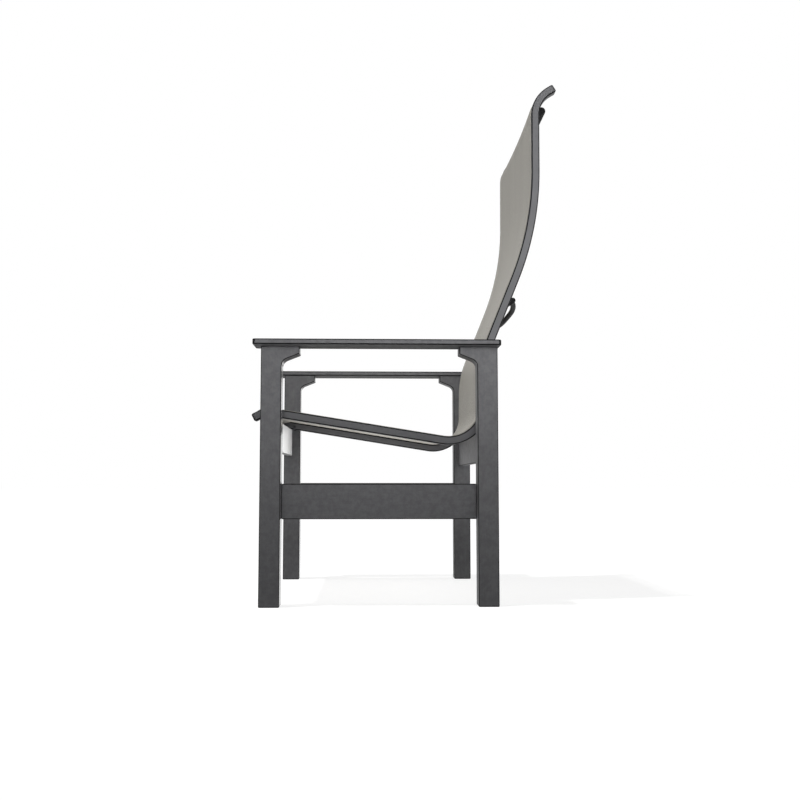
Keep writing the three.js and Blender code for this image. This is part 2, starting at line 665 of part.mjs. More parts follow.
// The sling, drawn tight with a slight hollow across the seat. Its edges turn down into the grooves.
function sling() {
  const edge = RAIL_X + GROOVE_U;
  const half = SLING_THICKNESS / 2;
  const under = RAIL_DEPTH / 2 + SEAT_GAP;
  const top = under + SLING_THICKNESS;
  const foot = GROOVE_V + SPLINE_RADIUS + SEAT_GAP;
  const sagShares = [[0.5, 0.75], [0, 1]];
  const upper = [
    [edge + half, foot], [edge + half, top - SLING_TURN], [edge + half - SLING_TURN, top], [RAIL_INNER_X, top],
    ...sagShares.map(([across, deep]) => [RAIL_INNER_X * across, top - SLING_SAG * deep]),
  ];
  const lower = [
    [edge - half, foot], [edge - half, under], [RAIL_INNER_X, under],
    ...sagShares.map(([across, deep]) => [RAIL_INNER_X * across, under - SLING_SAG * deep]),
  ];
  const flip = ([x, v]) => [-x, v];
  const overTop = [...upper, ...upper.slice(0, -1).reverse().map(flip)];
  const underneath = [...lower, ...lower.slice(0, -1).reverse().map(flip)];
  return carried([[...overTop, ...underneath.reverse()]], stretch(FRONT_HEM_SET, railLength - TOP_HEM_SET));
}

function spline() {
  const section = [];
  for (let k = 0; k < SPLINE_SIDES; k += 1) {
    const angle = 2 * Math.PI * k / SPLINE_SIDES;
    section.push([
      RAIL_X + GROOVE_U + SPLINE_RADIUS * Math.cos(angle),
      GROOVE_V + SPLINE_RADIUS * Math.sin(angle),
    ]);
  }
  return carried([section], stretch(FRONT_HEM_SET, railLength - TOP_HEM_SET));
}

// Spreader tubes and the plugs that fix them to the inner side of the rails

function ring(outer, inner) {
  const shape = new THREE.Shape().absarc(0, 0, outer, 0, 2 * Math.PI);
  shape.holes.push(new THREE.Path().absarc(0, 0, inner, 0, 2 * Math.PI, true));
  return shape;
}

function topSpreader() {
  const geometry = new THREE.ExtrudeGeometry(ring(TOP_TUBE_RADIUS, TOP_TUBE_RADIUS - TOP_TUBE_WALL), {
    depth: 2 * tubeEnd, bevelEnabled: false, curveSegments: TUBE_SIDES / 2,
  });
  geometry.applyMatrix4(new THREE.Matrix4().makeBasis(Y_AXIS, Z_AXIS, X_AXIS));
  return geometry.translate(-tubeEnd, topTube.y, topTube.z);
}

// The lumbar tube leaves each plug square, then bows back in a flat-bottomed curve
function lumbarSpreader() {
  const reach = tubeEnd - LUMBAR_STUB;
  const bow = (share) => LUMBAR_BOW * (1 - share ** BOW_POWER);
  const half = [
    lumbarTube.clone().setX(tubeEnd),
    lumbarTube.clone().setX(tubeEnd - LUMBAR_STUB / 2),
    lumbarTube.clone().setX(reach),
    ...LUMBAR_POINT_SHARES.map((share) => new THREE.Vector3(
      share * reach, lumbarTube.y + bow(share), lumbarTube.z,
    )),
  ];
  const other = half.slice(0, -1).reverse().map((point) => point.clone().setX(-point.x));
  return new THREE.ExtrudeGeometry(ring(LUMBAR_TUBE_RADIUS, LUMBAR_TUBE_RADIUS - LUMBAR_TUBE_WALL), {
    steps: LUMBAR_STEPS,
    curveSegments: LUMBAR_SIDES / 2,
    extrudePath: new THREE.CatmullRomCurve3([...half, ...other]),
  });
}

// A round-ended plate from the tube's axis to its screw, with a spigot in the tube
function plug(axis, screw, radius, bore) {
  const across = new THREE.Vector2(screw.y - axis.y, screw.z - axis.z);
  const turn = Math.atan2(across.y, across.x);
  const shape = new THREE.Shape();
  shape.absarc(0, 0, radius, Math.PI / 2, 1.5 * Math.PI);
  shape.absarc(across.length(), 0, radius, -Math.PI / 2, Math.PI / 2);
  const plate = board(shape, PLUG_PLATE, PLUG_EDGE, Y_AXIS, Z_AXIS, X_AXIS);
  plate.rotateX(turn).translate(plugBack, axis.y, axis.z);
  const spigot = bar(bore - PLUG_SPIGOT_PLAY,
    new THREE.Vector3(plugBack - PLUG_SPIGOT, axis.y, axis.z),
    new THREE.Vector3(plugBack + PLUG_PLATE / 2, axis.y, axis.z));
  const hole = bar(PLUG_SCREW.shank + HOLE_PLAY,
    new THREE.Vector3(plugBack - OVERRUN, screw.y, screw.z),
    new THREE.Vector3(plugFace + OVERRUN, screw.y, screw.z));
  return cut(join(plate, [spigot]), [hole]);
}

function spacer() {
  const geometry = new THREE.ExtrudeGeometry(ring(SPACER_RADIUS, BOLT.shank + HOLE_PLAY), {
    depth: RAIL_TO_LEG - 2 * SEAT_GAP, bevelEnabled: false, curveSegments: ROUND_SIDES / 2,
  });
  return geometry.applyMatrix4(new THREE.Matrix4().makeBasis(Y_AXIS, Z_AXIS, X_AXIS));
}

// Assembly

const chair = new THREE.Group();

function add(name, geometry, finish) {
  const mesh = new THREE.Mesh(closedMesh(geometry), finish);
  mesh.name = name;
  chair.add(mesh);
  return mesh;
}

// The left piece as made, and the right one as its mirror image
function addPair(name, geometry, finish) {
  add(`${name}_left`, geometry, finish);
  add(`${name}_right`, mirrored(geometry), finish);
}

// A turned fastener with the middle of its head at a place, pointing outward, on both sides
function addFasteners(name, geometry, finish, place, outward) {
  for (const [side, way] of [['left', 1], ['right', -1]]) {
    const mesh = add(`${name}_${side}`, geometry, finish);
    mesh.position.set(way * place.x, place.y, place.z);
    mesh.quaternion.setFromUnitVectors(Y_AXIS, new THREE.Vector3(way * outward.x, outward.y, outward.z));
  }
}

addPair('front_leg', leg(true), boardFinish);
addPair('rear_leg', leg(false), boardFinish);
addPair('arm', arm(), boardFinish);
addPair('side_stretcher', stretcher(), boardFinish);
add('front_apron', apron(true), boardFinish);
add('rear_apron', apron(false), boardFinish);

addPair('sling_rail', rail(), railFinish);
addPair('rail_front_cap', railCap(false), plasticFinish);
addPair('rail_top_cap', railCap(true), plasticFinish);
add('sling', sling(), slingFinish);
addPair('sling_spline', spline(), plasticFinish);

add('top_spreader', topSpreader(), tubeFinish);
add('lumbar_spreader', lumbarSpreader(), tubeFinish);
addPair('top_spreader_plug', plug(topTube, topPlugScrew, TOP_PLUG_RADIUS, TOP_TUBE_RADIUS - TOP_TUBE_WALL),
  plasticFinish);
addPair('lumbar_spreader_plug',
  plug(lumbarTube, lumbarPlugScrew, LUMBAR_PLUG_RADIUS, LUMBAR_TUBE_RADIUS - LUMBAR_TUBE_WALL), plasticFinish);

const inward = X_AXIS.clone().negate();
for (const [end, isFront] of [['front', true], ['rear', false]]) {
  const fixings = legFixings(isFront);
  addFasteners(`arm_screw_${end}`, countersunkScrew(WOOD_SCREW, ARM_SCREW_LENGTH), steelFinish,
    fixings.armScrew, Z_AXIS);
  addFasteners(`apron_screw_${end}`, countersunkScrew(WOOD_SCREW, APRON_SCREW_LENGTH), steelFinish,
    fixings.apronScrew, fixings.outward);
  fixings.stretcherScrews.forEach((place, n) => addFasteners(
    `stretcher_screw_${end}_${n === 0 ? 'lower' : 'upper'}`,
    countersunkScrew(WOOD_SCREW, STRETCHER_SCREW_LENGTH), steelFinish, place, fixings.outward,
  ));
  addFasteners(`rail_bolt_${end}`,
    buttonBolt(BOLT, RAIL_WIDTH + RAIL_TO_LEG + BOLT_IN_LEG + SEAT_GAP), steelFinish,
    fixings.bolt.clone().setX(RAIL_INNER_X - SEAT_GAP), inward);
  const ringPlace = fixings.bolt.clone().setX(RAIL_INNER_X + RAIL_WIDTH + SEAT_GAP);
  addPair(`rail_spacer_${end}`, spacer().translate(ringPlace.x, ringPlace.y, ringPlace.z), plasticFinish);
}
for (const [name, screw] of [['top', topPlugScrew], ['lumbar', lumbarPlugScrew]]) {
  addFasteners(`${name}_plug_screw`, buttonBolt(PLUG_SCREW, PLUG_SCREW_LENGTH), steelFinish,
    screw.clone().setX(plugBack - SEAT_GAP), inward);
}

const middle = new THREE.Box3().setFromObject(chair).getCenter(new THREE.Vector3());
chair.position.y = -middle.y;

export default chair;
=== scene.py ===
import bpy
import numpy as np
from mathutils import Matrix, Vector


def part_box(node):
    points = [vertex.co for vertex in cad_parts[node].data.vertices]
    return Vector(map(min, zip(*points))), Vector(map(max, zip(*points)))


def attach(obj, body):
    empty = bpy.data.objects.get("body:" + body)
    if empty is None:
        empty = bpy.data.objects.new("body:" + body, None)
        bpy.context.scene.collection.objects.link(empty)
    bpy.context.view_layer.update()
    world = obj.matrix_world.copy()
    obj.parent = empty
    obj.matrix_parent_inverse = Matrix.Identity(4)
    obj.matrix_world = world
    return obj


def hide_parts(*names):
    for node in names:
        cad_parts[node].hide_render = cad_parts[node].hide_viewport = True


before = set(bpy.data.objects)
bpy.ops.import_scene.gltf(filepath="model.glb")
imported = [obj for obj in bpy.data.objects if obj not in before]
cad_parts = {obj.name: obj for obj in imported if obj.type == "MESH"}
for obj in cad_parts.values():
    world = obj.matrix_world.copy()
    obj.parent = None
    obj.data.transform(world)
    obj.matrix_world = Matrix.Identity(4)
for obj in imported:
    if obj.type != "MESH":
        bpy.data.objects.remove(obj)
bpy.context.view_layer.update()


# Board frame: four legs, two arms, two side stretchers and two aprons.
# Each is sawn from solid-coloured polymer board, charcoal all the way through, with a faint
# grain along its length. The arrises are routed round, and painted shade darkens the board
# along them.

def linear(code, shade=1.0):
    """The linear colour of an sRGB hex code, times shade."""
    value = np.array([int(code[i:i + 2], 16) for i in (1, 3, 5)]) / 255
    return (*shade * np.where(value > 0.04045, ((value + 0.055) / 1.055) ** 2.4, value / 12.92), 1.0)


class Signal:
    """An output of a node. Arithmetic on it adds Math nodes."""

    def __init__(self, nodes, socket):
        self.nodes = nodes
        self.socket = socket

    def math(self, operation, *values):
        return self.nodes.node("ShaderNodeMath", {"operation": operation}, *values)

    def __add__(self, other):
        return self.math("ADD", self, other)

    def __radd__(self, other):
        return self.math("ADD", other, self)

    def __sub__(self, other):
        return self.math("SUBTRACT", self, other)

    def __rsub__(self, other):
        return self.math("SUBTRACT", other, self)

    def __mul__(self, other):
        return self.math("MULTIPLY", self, other)

    def __rmul__(self, other):
        return self.math("MULTIPLY", other, self)

    def above(self, level):
        """1 where the value is over the level and 0 elsewhere."""
        return self.math("GREATER_THAN", self, level)

    def root(self):
        return self.math("SQRT", self)

    def sine(self):
        return self.math("SINE", self)

    def size(self):
        """The value without its sign."""
        return self.math("ABSOLUTE", self)

    def least(self, other):
        return self.math("MINIMUM", self, other)

    def most(self, other):
        return self.math("MAXIMUM", self, other)

    def ramp(self, low, high):
        """0 below low and 1 above high, eased between them."""
        eased = {"interpolation_type": "SMOOTHSTEP"}
        return self.nodes.node("ShaderNodeMapRange", eased, self, low, high)


def socket_name(word):
    """The name of a socket whose words are joined by underscores here."""
    return word.replace("_", " ").title().replace("Ior", "IOR")


class Nodes:
    """A node tree that is filled through one method."""

    def __init__(self, tree):
        self.tree = tree

    def give(self, socket, value):
        """Links a signal to an input, or sets the input to a number or a colour."""
        if isinstance(value, Signal):
            self.tree.links.new(value.socket, socket)
        elif value is not None:
            socket.default_value = value

    def node(self, kind, settings=None, *values, output=0, **named):
        """Adds a node, with its settings first and then its inputs by order or by name."""
        made = self.tree.nodes.new(kind)
        for setting, value in (settings or {}).items():
            setattr(made, setting, value)
        for order, value in enumerate(values):
            self.give(made.inputs[order], value)
        for word, value in named.items():
            self.give(made.inputs[socket_name(word)], value)
        return Signal(self, made.outputs[output])


class Finish(Nodes):
    """A material. Its constants sit on the Principled shader's own sockets."""

    def __init__(self, name, **constants):
        self.material = bpy.data.materials.new(name)
        self.material.use_nodes = True
        super().__init__(self.material.node_tree)
        self.shader = self.tree.nodes["Principled BSDF"]
        self.paint(**constants)

    def paint(self, **values):
        """Sets or links the shader's inputs, by name."""
        for word, value in values.items():
            self.give(self.shader.inputs[socket_name(word)], value)
        return self

    def axes(self, vector):
        """The three parts of a vector."""
        parts = self.node("ShaderNodeSeparateXYZ", None, vector).socket.node
        return [Signal(self, socket) for socket in parts.outputs]

    def place(self):
        """The point being shaded, in metres in the chair's frame."""
        return self.node("ShaderNodeTexCoord", output="Object")

    def noise(self, vector, stretch, detail=3.0, roughness=0.5, seed=0.0):
        """Noise whose features per metre along each axis are given by stretch."""
        scaled = self.node("ShaderNodeMapping", None, vector, location=[seed] * 3, scale=stretch)
        return self.node("ShaderNodeTexNoise", None, scaled, scale=1.0, detail=detail,
                         roughness=roughness)

    def blend(self, share, first, second):
        """A colour from first to second as share goes from 0 to 1. The node's inputs for mixing
        numbers and vectors lie between its share and its colours."""
        skipped = [None] * 5
        return self.node("ShaderNodeMix", {"data_type": "RGBA"}, share, *skipped, first, second,
                         output=2)

    def bump(self, height, depth, strength=1.0):
        """A surface raised by height times depth, in metres."""
        return self.node("ShaderNodeBump", None, height=height, distance=depth, strength=strength)


# The last board colour is painted shade along the arrises.
BOARD, BOARD_PALE, BOARD_ARRIS_SHADE = "#5d5d5f", "#69696b", "#101011"
GRAIN_ACROSS, GRAIN_ALONG, MOTTLE, PORES = 420.0, 30.0, 70.0, 800.0  # features per metre
ARRIS_SHADE_FADE, ARM_STEEPNESS = 0.0009, 1.5
FLARE_REACH, FLARE_DEPTH, FLARE_FILLET = 0.039, 0.016, 0.017
FLARE_SLOPE = np.radians(21.7)
X, Y, Z = 0, 1, 2


def box_inset(finish, node):
    """How far a point is inside each pair of a node's sides: x, y and z."""
    low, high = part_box(node)
    parts = finish.axes(finish.place())
    return [(part - float(a)).least(float(b) - part) for part, a, b in zip(parts, low, high)]


def arm_inset(finish, node):
    """As box_inset, but the board's edges are seen so steeply that the painted shade reaches less
    far up and down them than in over the board's flat sides."""
    across, along, up = box_inset(finish, node)
    return [across, along, up * ARM_STEEPNESS]


def leg_inset(finish, node):
    """As box_inset, but the inner edge is a straight, a fillet and the flare's slope, and the
    top end is left out because it is hidden under the arm. Measured from the fillet's centre,
    a point is as far in as the larger of its reaches along the two lines' normals, and between
    those normals as its distance from the centre, less the fillet's radius."""
    low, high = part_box(node)
    across, along, up = finish.axes(finish.place())
    run = along - float(low[1]) if node.startswith("front") else float(high[1]) - along
    width = float(high[1] - low[1]) - FLARE_REACH
    corner = float(high[2]) - FLARE_DEPTH - FLARE_REACH * float(np.tan(FLARE_SLOPE))
    sine, cosine = float(np.sin(FLARE_SLOPE)), float(np.cos(FLARE_SLOPE))
    p = width - run + FLARE_FILLET
    q = (up - corner) * cosine - (run - width) * sine + FLARE_FILLET
    span = (p * p + q * q - p * q * (2 * sine)).most(0.0).root() * (1 / cosine)
    between = (p - q * sine).above(0.0) * (q - p * sine).above(0.0)
    inner = span * between + p.most(q) * (1 - between) - FLARE_FILLET
    side = (across - float(low[0])).least(float(high[0]) - across)
    return [side, run.least(inner).least(width + FLARE_REACH - run), up - float(low[2])]


def board_finish(node, grain, inset, reach, shade=1.0, gloss=0.32, sheen=0.0, skin=False):
    """Charcoal polymer board, mottled, with a faint grain along one axis. Painted shade darkens
    it within reach of its arrises, which run along x, y and z. A point on a face is near such an
    arris where the larger of its insets along the other two axes is small. With skin, what faces
    the chair's back keeps the smooth gloss that the board was extruded with. A sheen shows as
    a pale bloom on faces that are seen at a slant. The seed gives each board its own mottle."""
    finish = Finish(f"polymer_board_{node}", specular_ior_level=gloss, coat_roughness=0.16,
                    sheen_weight=sheen, sheen_roughness=0.4)
    place = finish.place()
    fine = [GRAIN_ACROSS] * 3
    fine[grain] = GRAIN_ALONG
    seed = sum(map(ord, node)) * 0.37
    streaks = finish.noise(place, fine, detail=2.0, seed=seed)
    mottle = finish.noise(place, [MOTTLE] * 3, detail=5.0, roughness=0.65, seed=seed)
    pores = finish.noise(place, [PORES] * 3, detail=2.0, seed=seed)
    a, b, c = inset(finish, node)
    insides = [b.most(c), a.most(c), a.most(b)]
    # Where the painted shade along the arrises that run along x, y and z falls: 0 at the arris.
    along_x, along_y, along_z = (
        inside.ramp(far - ARRIS_SHADE_FADE, far) for inside, far in zip(insides, reach))
    tone = (mottle * 0.6 + pores * 0.25 + streaks * 0.15).ramp(0.38, 0.62)
    face = finish.blend(tone, linear(BOARD, shade), linear(BOARD_PALE, shade))
    if skin:
        backwards = finish.axes(finish.node("ShaderNodeTexCoord", output="Normal"))[Y]
        finish.paint(coat_weight=backwards.ramp(0.7, 0.95))
    finish.paint(
        base_color=finish.blend(along_x * along_y * along_z, linear(BOARD_ARRIS_SHADE), face),
        roughness=0.68 - mottle * 0.16,
        normal=finish.bump(mottle * 0.5 + pores * 0.3 + streaks * 0.2, 0.00025, 0.5),
    )
    return finish.material


def distance_along(line):
    """The distance run at each point of a line."""
    return np.concatenate([[0.0], np.cumsum(np.hypot(*np.diff(line, axis=0).T))])


def bent_path(corners, radii, spacing=0.0035):
    """A path of straights and arcs, as rows of y, z, heading and distance run.
    Each corner becomes an arc that is tangent to both of its straights, and the arc's points
    are its start plus the radius times the change in the sine and cosine of the heading."""
    ways = np.diff(corners, axis=0)
    heading = np.unwrap(np.arctan2(ways[:, 1], ways[:, 0]))
    pieces = [np.array([[*corners[0], heading[0]]])]
    for corner, radius, a, b in zip(corners[1:-1], radii, heading[:-1], heading[1:]):
        tangent = radius * np.tan(abs(b - a) / 2)
        start = corner - tangent * np.array([np.cos(a), np.sin(a)])
        turn = np.linspace(a, b, max(9, int(radius * abs(b - a) / spacing)))
        side = np.sign(b - a) * radius
        pieces.append(np.column_stack([
            start[0] + side * (np.sin(turn) - np.sin(a)),
            start[1] - side * (np.cos(turn) - np.cos(a)),
            turn,
        ]))
    pieces.append(np.array([[*corners[-1], heading[-1]]]))
    rows = np.concatenate(pieces)
    step = np.hypot(*np.diff(rows[:, :2], axis=0).T)
    rows = rows[np.concatenate([[True], step > 1e-7])]
    return np.column_stack([rows, distance_along(rows[:, :2])])


def quads_of(index):
    """The faces between neighbouring rows and columns of point numbers."""
    corners = [index[:-1, :-1], index[1:, :-1], index[1:, 1:], index[:-1, 1:]]
    return np.stack(corners, axis=-1).reshape(-1, 4)


SHARP_FROM = np.radians(35)


def surface(name, grid, uv=None, along=False):
    """A mesh from a grid of points, rows by columns, whose last column joins the first. With
    along the last row joins the first too, and otherwise a face closes each of the two."""
    rows, columns = grid.shape[:2]
    index = np.arange(rows * columns).reshape(rows, columns)
    index = np.column_stack([index, index[:, 0]])
    if along:
        index = np.vstack([index, index[:1]])
    faces = quads_of(index).tolist()
    if not along:
        faces += [index[0, :-1].tolist(), index[-1, :-1][::-1].tolist()]
    mesh = bpy.data.meshes.new(name)
    mesh.from_pydata(grid.reshape(-1, 3).tolist(), [], faces)
    if uv is not None:
        corner = np.empty(len(mesh.loops), dtype=np.int32)
        mesh.loops.foreach_get("vertex_index", corner)
        layer = mesh.uv_layers.new(name="length")
        layer.data.foreach_set("uv", uv.reshape(-1, 2)[corner].astype(np.float32).ravel())
    mesh.validate()
    mesh.update()
    piece = bpy.data.objects.new(name, mesh)
    bpy.context.scene.collection.objects.link(piece)
    bpy.context.view_layer.update()
    if signed_volume(mesh) < 0:
        mesh.flip_normals()
    mesh.shade_smooth()
    mesh.set_sharp_from_angle(angle=SHARP_FROM)
    return piece


def signed_volume(mesh):
    """The sum of the tetrahedra from the origin to each triangle: above 0 when faces point out."""
    mesh.calc_loop_triangles()
    points = np.empty(len(mesh.vertices) * 3)
    mesh.vertices.foreach_get("co", points)
    corners = np.empty(len(mesh.loop_triangles) * 3, dtype=np.int32)
    mesh.loop_triangles.foreach_get("vertices", corners)
    a, b, c = np.moveaxis(points.reshape(-1, 3)[corners.reshape(-1, 3)], 1, 0)
    return np.einsum("ij,ij->", a, np.cross(b, c))


ARRIS_ROUND, CORNER_ROUND, ARM_CORNER = 0.0018, 0.0026, 0.007
HOLD = 0.0007


def outline_of(corners, radii):
    """A closed outline through corners that are rounded by radii. It starts in the middle of
    the side that ends at the first corner. Each straight gets a point a little way in from
    both its ends, so that its shading stays flat."""
    corners = np.array(corners, dtype=float)
    middle = (corners[:1] + corners[-1:]) / 2
    path = bent_path(np.concatenate([middle, corners, middle]), radii)[:-1]
    run = path[:, 3]
    long = np.diff(run) > 4 * HOLD
    where = np.sort(np.concatenate([run, run[:-1][long] + HOLD, run[1:][long] - HOLD]))
    return np.column_stack([np.interp(where, run, path[:, i]) for i in range(3)])


def slab(name, outline, normal, axes, thick, radius):
    """A flat piece with rounded arrises: its outline is repeated through the thickness and
    drawn in along its normals, by the radius less the radius times the sine of an angle that
    goes from nothing at the face to a right angle at the side."""
    angle = np.linspace(0, np.pi / 2, 6)
    depth = np.concatenate([[0.0], radius * (1 - np.cos(angle)), [radius + HOLD]])
    inset = np.concatenate([[radius + HOLD], radius * (1 - np.sin(angle)), [0.0]])
    level = np.concatenate([thick[0] + depth, (thick[1] - depth)[::-1]])
    inset = np.concatenate([inset, inset[::-1]])
    flat = outline[None] - inset[:, None, None] * normal[None]
    grid = np.empty((*flat.shape[:2], 3))
    grid[..., axes[0]], grid[..., axes[1]] = flat[..., 0], flat[..., 1]
    grid[..., axes[2]] = level[:, None]
    return surface(name, grid)


def fit(piece, node, material):
    """Gives a piece its finish and its slot, and puts it on the chair in place of a node."""
    piece.data.materials.append(material)
    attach(piece, "root")
    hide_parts(node)


def sawn_board(node, corners, radii, axes, finish):
    """A board in place of its node: the outline lies along the first two axes, and the
    thickness along the third."""
    outline = outline_of(corners, radii)
    normal = np.column_stack([np.sin(outline[:, 2]), -np.cos(outline[:, 2])])
    thick = [float(corner[axes[2]]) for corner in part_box(node)]
    board = slab(f"{node}_board", outline[:, :2], normal, axes, thick, ARRIS_ROUND)
    fit(board, node, finish)
    return board


def rectangle(node, first, second, inset=0.0):
    """The corners of a node's box seen along its third axis, anticlockwise."""
    low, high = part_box(node)
    a, b = float(low[first]) + inset, float(high[first]) - inset
    c, d = float(low[second]), float(high[second])
    return [(b, c), (b, d), (a, d), (a, c)]


# How far the painted shade along the arrises that run along x, y and z reaches into each board.
LEG_DARK, APRON_DARK = (0.0028, 0.0028, 0.0024), (0.0026, 0.0026, 0.0026)
ARM_DARK, STRETCHER_DARK = (0.0040, 0.0040, 0.0060), (0.0026, 0.0026, 0.0010)
ARM_SHADE, ARM_GLOSS, STRETCHER_SHADE = 1.12, 0.08, 1.16
SEAM = 0.0003

boards = {}
for side in ("left", "right"):
    for end in ("front", "rear"):
        node = f"{end}_leg_{side}"
        low, high = map(np.array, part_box(node))
        width, height = high[1] - low[1] - FLARE_REACH, high[2]
        wide, shoulder = width + FLARE_REACH, height - FLARE_DEPTH
        corner = shoulder - FLARE_REACH * np.tan(FLARE_SLOPE)
        shape = [(width, 0.0), (width, corner), (wide, shoulder), (wide, height),
                 (0.0, height), (0.0, 0.0)]
        edge, inward = (low[1], 1) if end == "front" else (high[1], -1)
        shape = [(edge + inward * run, up) for run, up in shape]
        radii = [CORNER_ROUND, FLARE_FILLET, *[CORNER_ROUND] * 4]
        if end == "rear":
            shape, radii = shape[::-1], radii[::-1]
        finish = board_finish(node, Z, leg_inset, LEG_DARK, skin=end == "front")
        boards[node] = sawn_board(node, shape, radii, (Y, Z, X), finish)
    node = f"arm_{side}"
    finish = board_finish(node, Y, arm_inset, ARM_DARK, shade=ARM_SHADE, gloss=ARM_GLOSS)
    shape = rectangle(node, X, Y)
    boards[node] = sawn_board(node, shape, [ARM_CORNER] * 4, (X, Y, Z), finish)
    node = f"side_stretcher_{side}"
    finish = board_finish(node, Y, box_inset, STRETCHER_DARK, shade=STRETCHER_SHADE)
    shape = rectangle(node, Y, Z)
    boards[node] = sawn_board(node, shape, [CORNER_ROUND] * 4, (Y, Z, X), finish)
for end, bloom in (("front", 1.0), ("rear", 0.0)):
    node = f"{end}_apron"
    tenon = float(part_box(node)[1][0]) - float(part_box("front_leg_left")[0][0]) + SEAM
    finish = board_finish(node, X, box_inset, APRON_DARK, sheen=bloom, skin=end == "front")
    shape = rectangle(node, X, Z, tenon)
    boards[node] = sawn_board(node, shape, [CORNER_ROUND] * 4, (X, Z, Y), finish)


# Sling rails: one aluminium extrusion a side, bent in five places to carry seat and back.
# A keyhole groove on the sitter's side takes the sling's edge. Grey powder coat, fired on
# after bending, with a fine orange peel.

# Where the rail's straights meet, as the distance behind the front legs' faces and the height.
RAIL_CORNERS = np.array([
    (-0.0220, 0.40803), (0.0067, 0.4224), (0.4922, 0.3446), (0.4956, 0.55417),
    (0.61302, 0.84626), (0.61474, 1.14395), (0.6596, 1.17123),
])
RAIL_BENDS = np.array([0.021, 0.082, 0.234, 0.680, 0.068])
RAIL_X = 0.254
RAIL_HALF = np.array([0.012, 0.00925])
RAIL_ROUND, ROUND_STEPS = 0.0032, 7
# How far the painted shade reaches in from the rail's arrises.
RAIL_DARK = 1.1 * RAIL_ROUND
GROOVE_U, GROOVE_V, GROOVE_R = 0.004, 0.00439, 0.0036
GROOVE_SLOT, GROOVE_LIP = 0.0026, 0.0004
CAP_LENGTH = 0.005
# The last rail colour is painted shade along the arrises, on the rail and its caps.
RAIL_COLOUR, RAIL_COLOUR_PALE, RAIL_EDGE_SHADE = "#636365", "#69696b", "#0e0e0f"
SIDES = (("left", 1), ("right", -1))

rail_path = bent_path(RAIL_CORNERS, RAIL_BENDS)
rail_path[:, 0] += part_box("front_leg_left")[0][1]
rail_length = rail_path[-1, 3]


def stations(start, stop):
    """Rows of the rail's path between two distances, close together where it bends."""
    straight_step = 0.016
    run = rail_path[:, 3]
    inside = run[(run > start + 1e-4) & (run < stop - 1e-4)]
    even = np.linspace(start, stop, int((stop - start) / straight_step) + 2)
    where = np.unique(np.round(np.concatenate([inside, even]), 5))
    where[0], where[-1] = start, stop
    return np.column_stack([np.interp(where, run, rail_path[:, i]) for i in range(3)] + [where])


def on_path(rows, x, v):
    """Points at x across the chair and v out of the path, towards the sitter."""
    y, z, turn = (rows[..., i] for i in range(3))
    return np.stack([x + 0 * y, y - np.sin(turn) * v + 0 * x, z + np.cos(turn) * v + 0 * x], axis=-1)


def rounded_box(half, radius):
    """The outline of a box with round corners, anticlockwise: four quarter circles in turn,
    each round a centre that is the box's corner moved in by the radius both ways."""
    quarter = (np.arange(4) * np.pi / 2)[:, None]
    turn = quarter + np.linspace(0, np.pi / 2, ROUND_STEPS)
    side = np.sign(np.stack([np.cos(quarter + np.pi / 4), np.sin(quarter + np.pi / 4)], axis=-1))
    circle = radius * np.stack([np.cos(turn), np.sin(turn)], axis=-1)
    return (side * (half - radius) + circle).reshape(-1, 2)


def near_arris(points):
    """How near points of the rail's outline are to its arrises, from 0 to 1: one less the
    larger of their insets from its sides, as a share of how far the painted shade reaches."""
    inset = np.sort(RAIL_HALF - np.abs(points), axis=-1)[..., 1]
    return 1 - np.clip(inset / RAIL_DARK, 0, 1)


def rail_profile():
    """The outline of the rail's section, with the keyhole groove let into its upper side,
    and beside it how near each point is to one of the four arrises. The groove's bore is a
    circle that stops at both sides of the slot."""
    outline = rounded_box(RAIL_HALF, RAIL_ROUND)
    half_slot, top = GROOVE_SLOT / 2, RAIL_HALF[1]
    mouth = np.arcsin(half_slot / GROOVE_R)
    turn = np.pi / 2 - mouth - np.linspace(0, 2 * np.pi - 2 * mouth, 20)
    groove = np.concatenate([
        [(GROOVE_U + half_slot + GROOVE_LIP, top), (GROOVE_U + half_slot, top - GROOVE_LIP)],
        np.column_stack([GROOVE_U + GROOVE_R * np.cos(turn), GROOVE_V + GROOVE_R * np.sin(turn)]),
        [(GROOVE_U - half_slot, top - GROOVE_LIP), (GROOVE_U - half_slot - GROOVE_LIP, top)],
    ])
    profile = np.concatenate([outline[:ROUND_STEPS], groove, outline[ROUND_STEPS:]])
    nearness = near_arris(profile)
    nearness[ROUND_STEPS:ROUND_STEPS + len(groove)] = 0.0
    return profile, nearness


def rail_finish():
    """Grey powder coat with a fine peel, with painted shade along the arrises."""
    finish = Finish("rail_powder_coat", specular_ior_level=0.12)
    place = finish.place()
    peel = finish.noise(place, [700.0] * 3, detail=2.0)
    clouds = finish.noise(place, [30.0, 8.0, 8.0], detail=3.0)
    # How near an arris each point is, for its painted shade.
    edge = finish.node("ShaderNodeAttribute", {"attribute_name": "arris"}, output="Fac")
    face = finish.blend(clouds.ramp(0.35, 0.7), linear(RAIL_COLOUR), linear(RAIL_COLOUR_PALE))
    return finish.paint(
        base_color=finish.blend(edge.ramp(0.05, 0.42), face, linear(RAIL_EDGE_SHADE)),
        roughness=0.44 + peel * 0.14,
        normal=finish.bump(peel, 0.00006, 0.5),
    ).material


def mark_arrises(piece, nearness):
    """Keeps on each vertex how near it is to an arris, for the finish's painted shade to read."""
    layer = piece.data.attributes.new("arris", "FLOAT", "POINT")
    layer.data.foreach_set("value", np.asarray(nearness, dtype=np.float32).ravel())


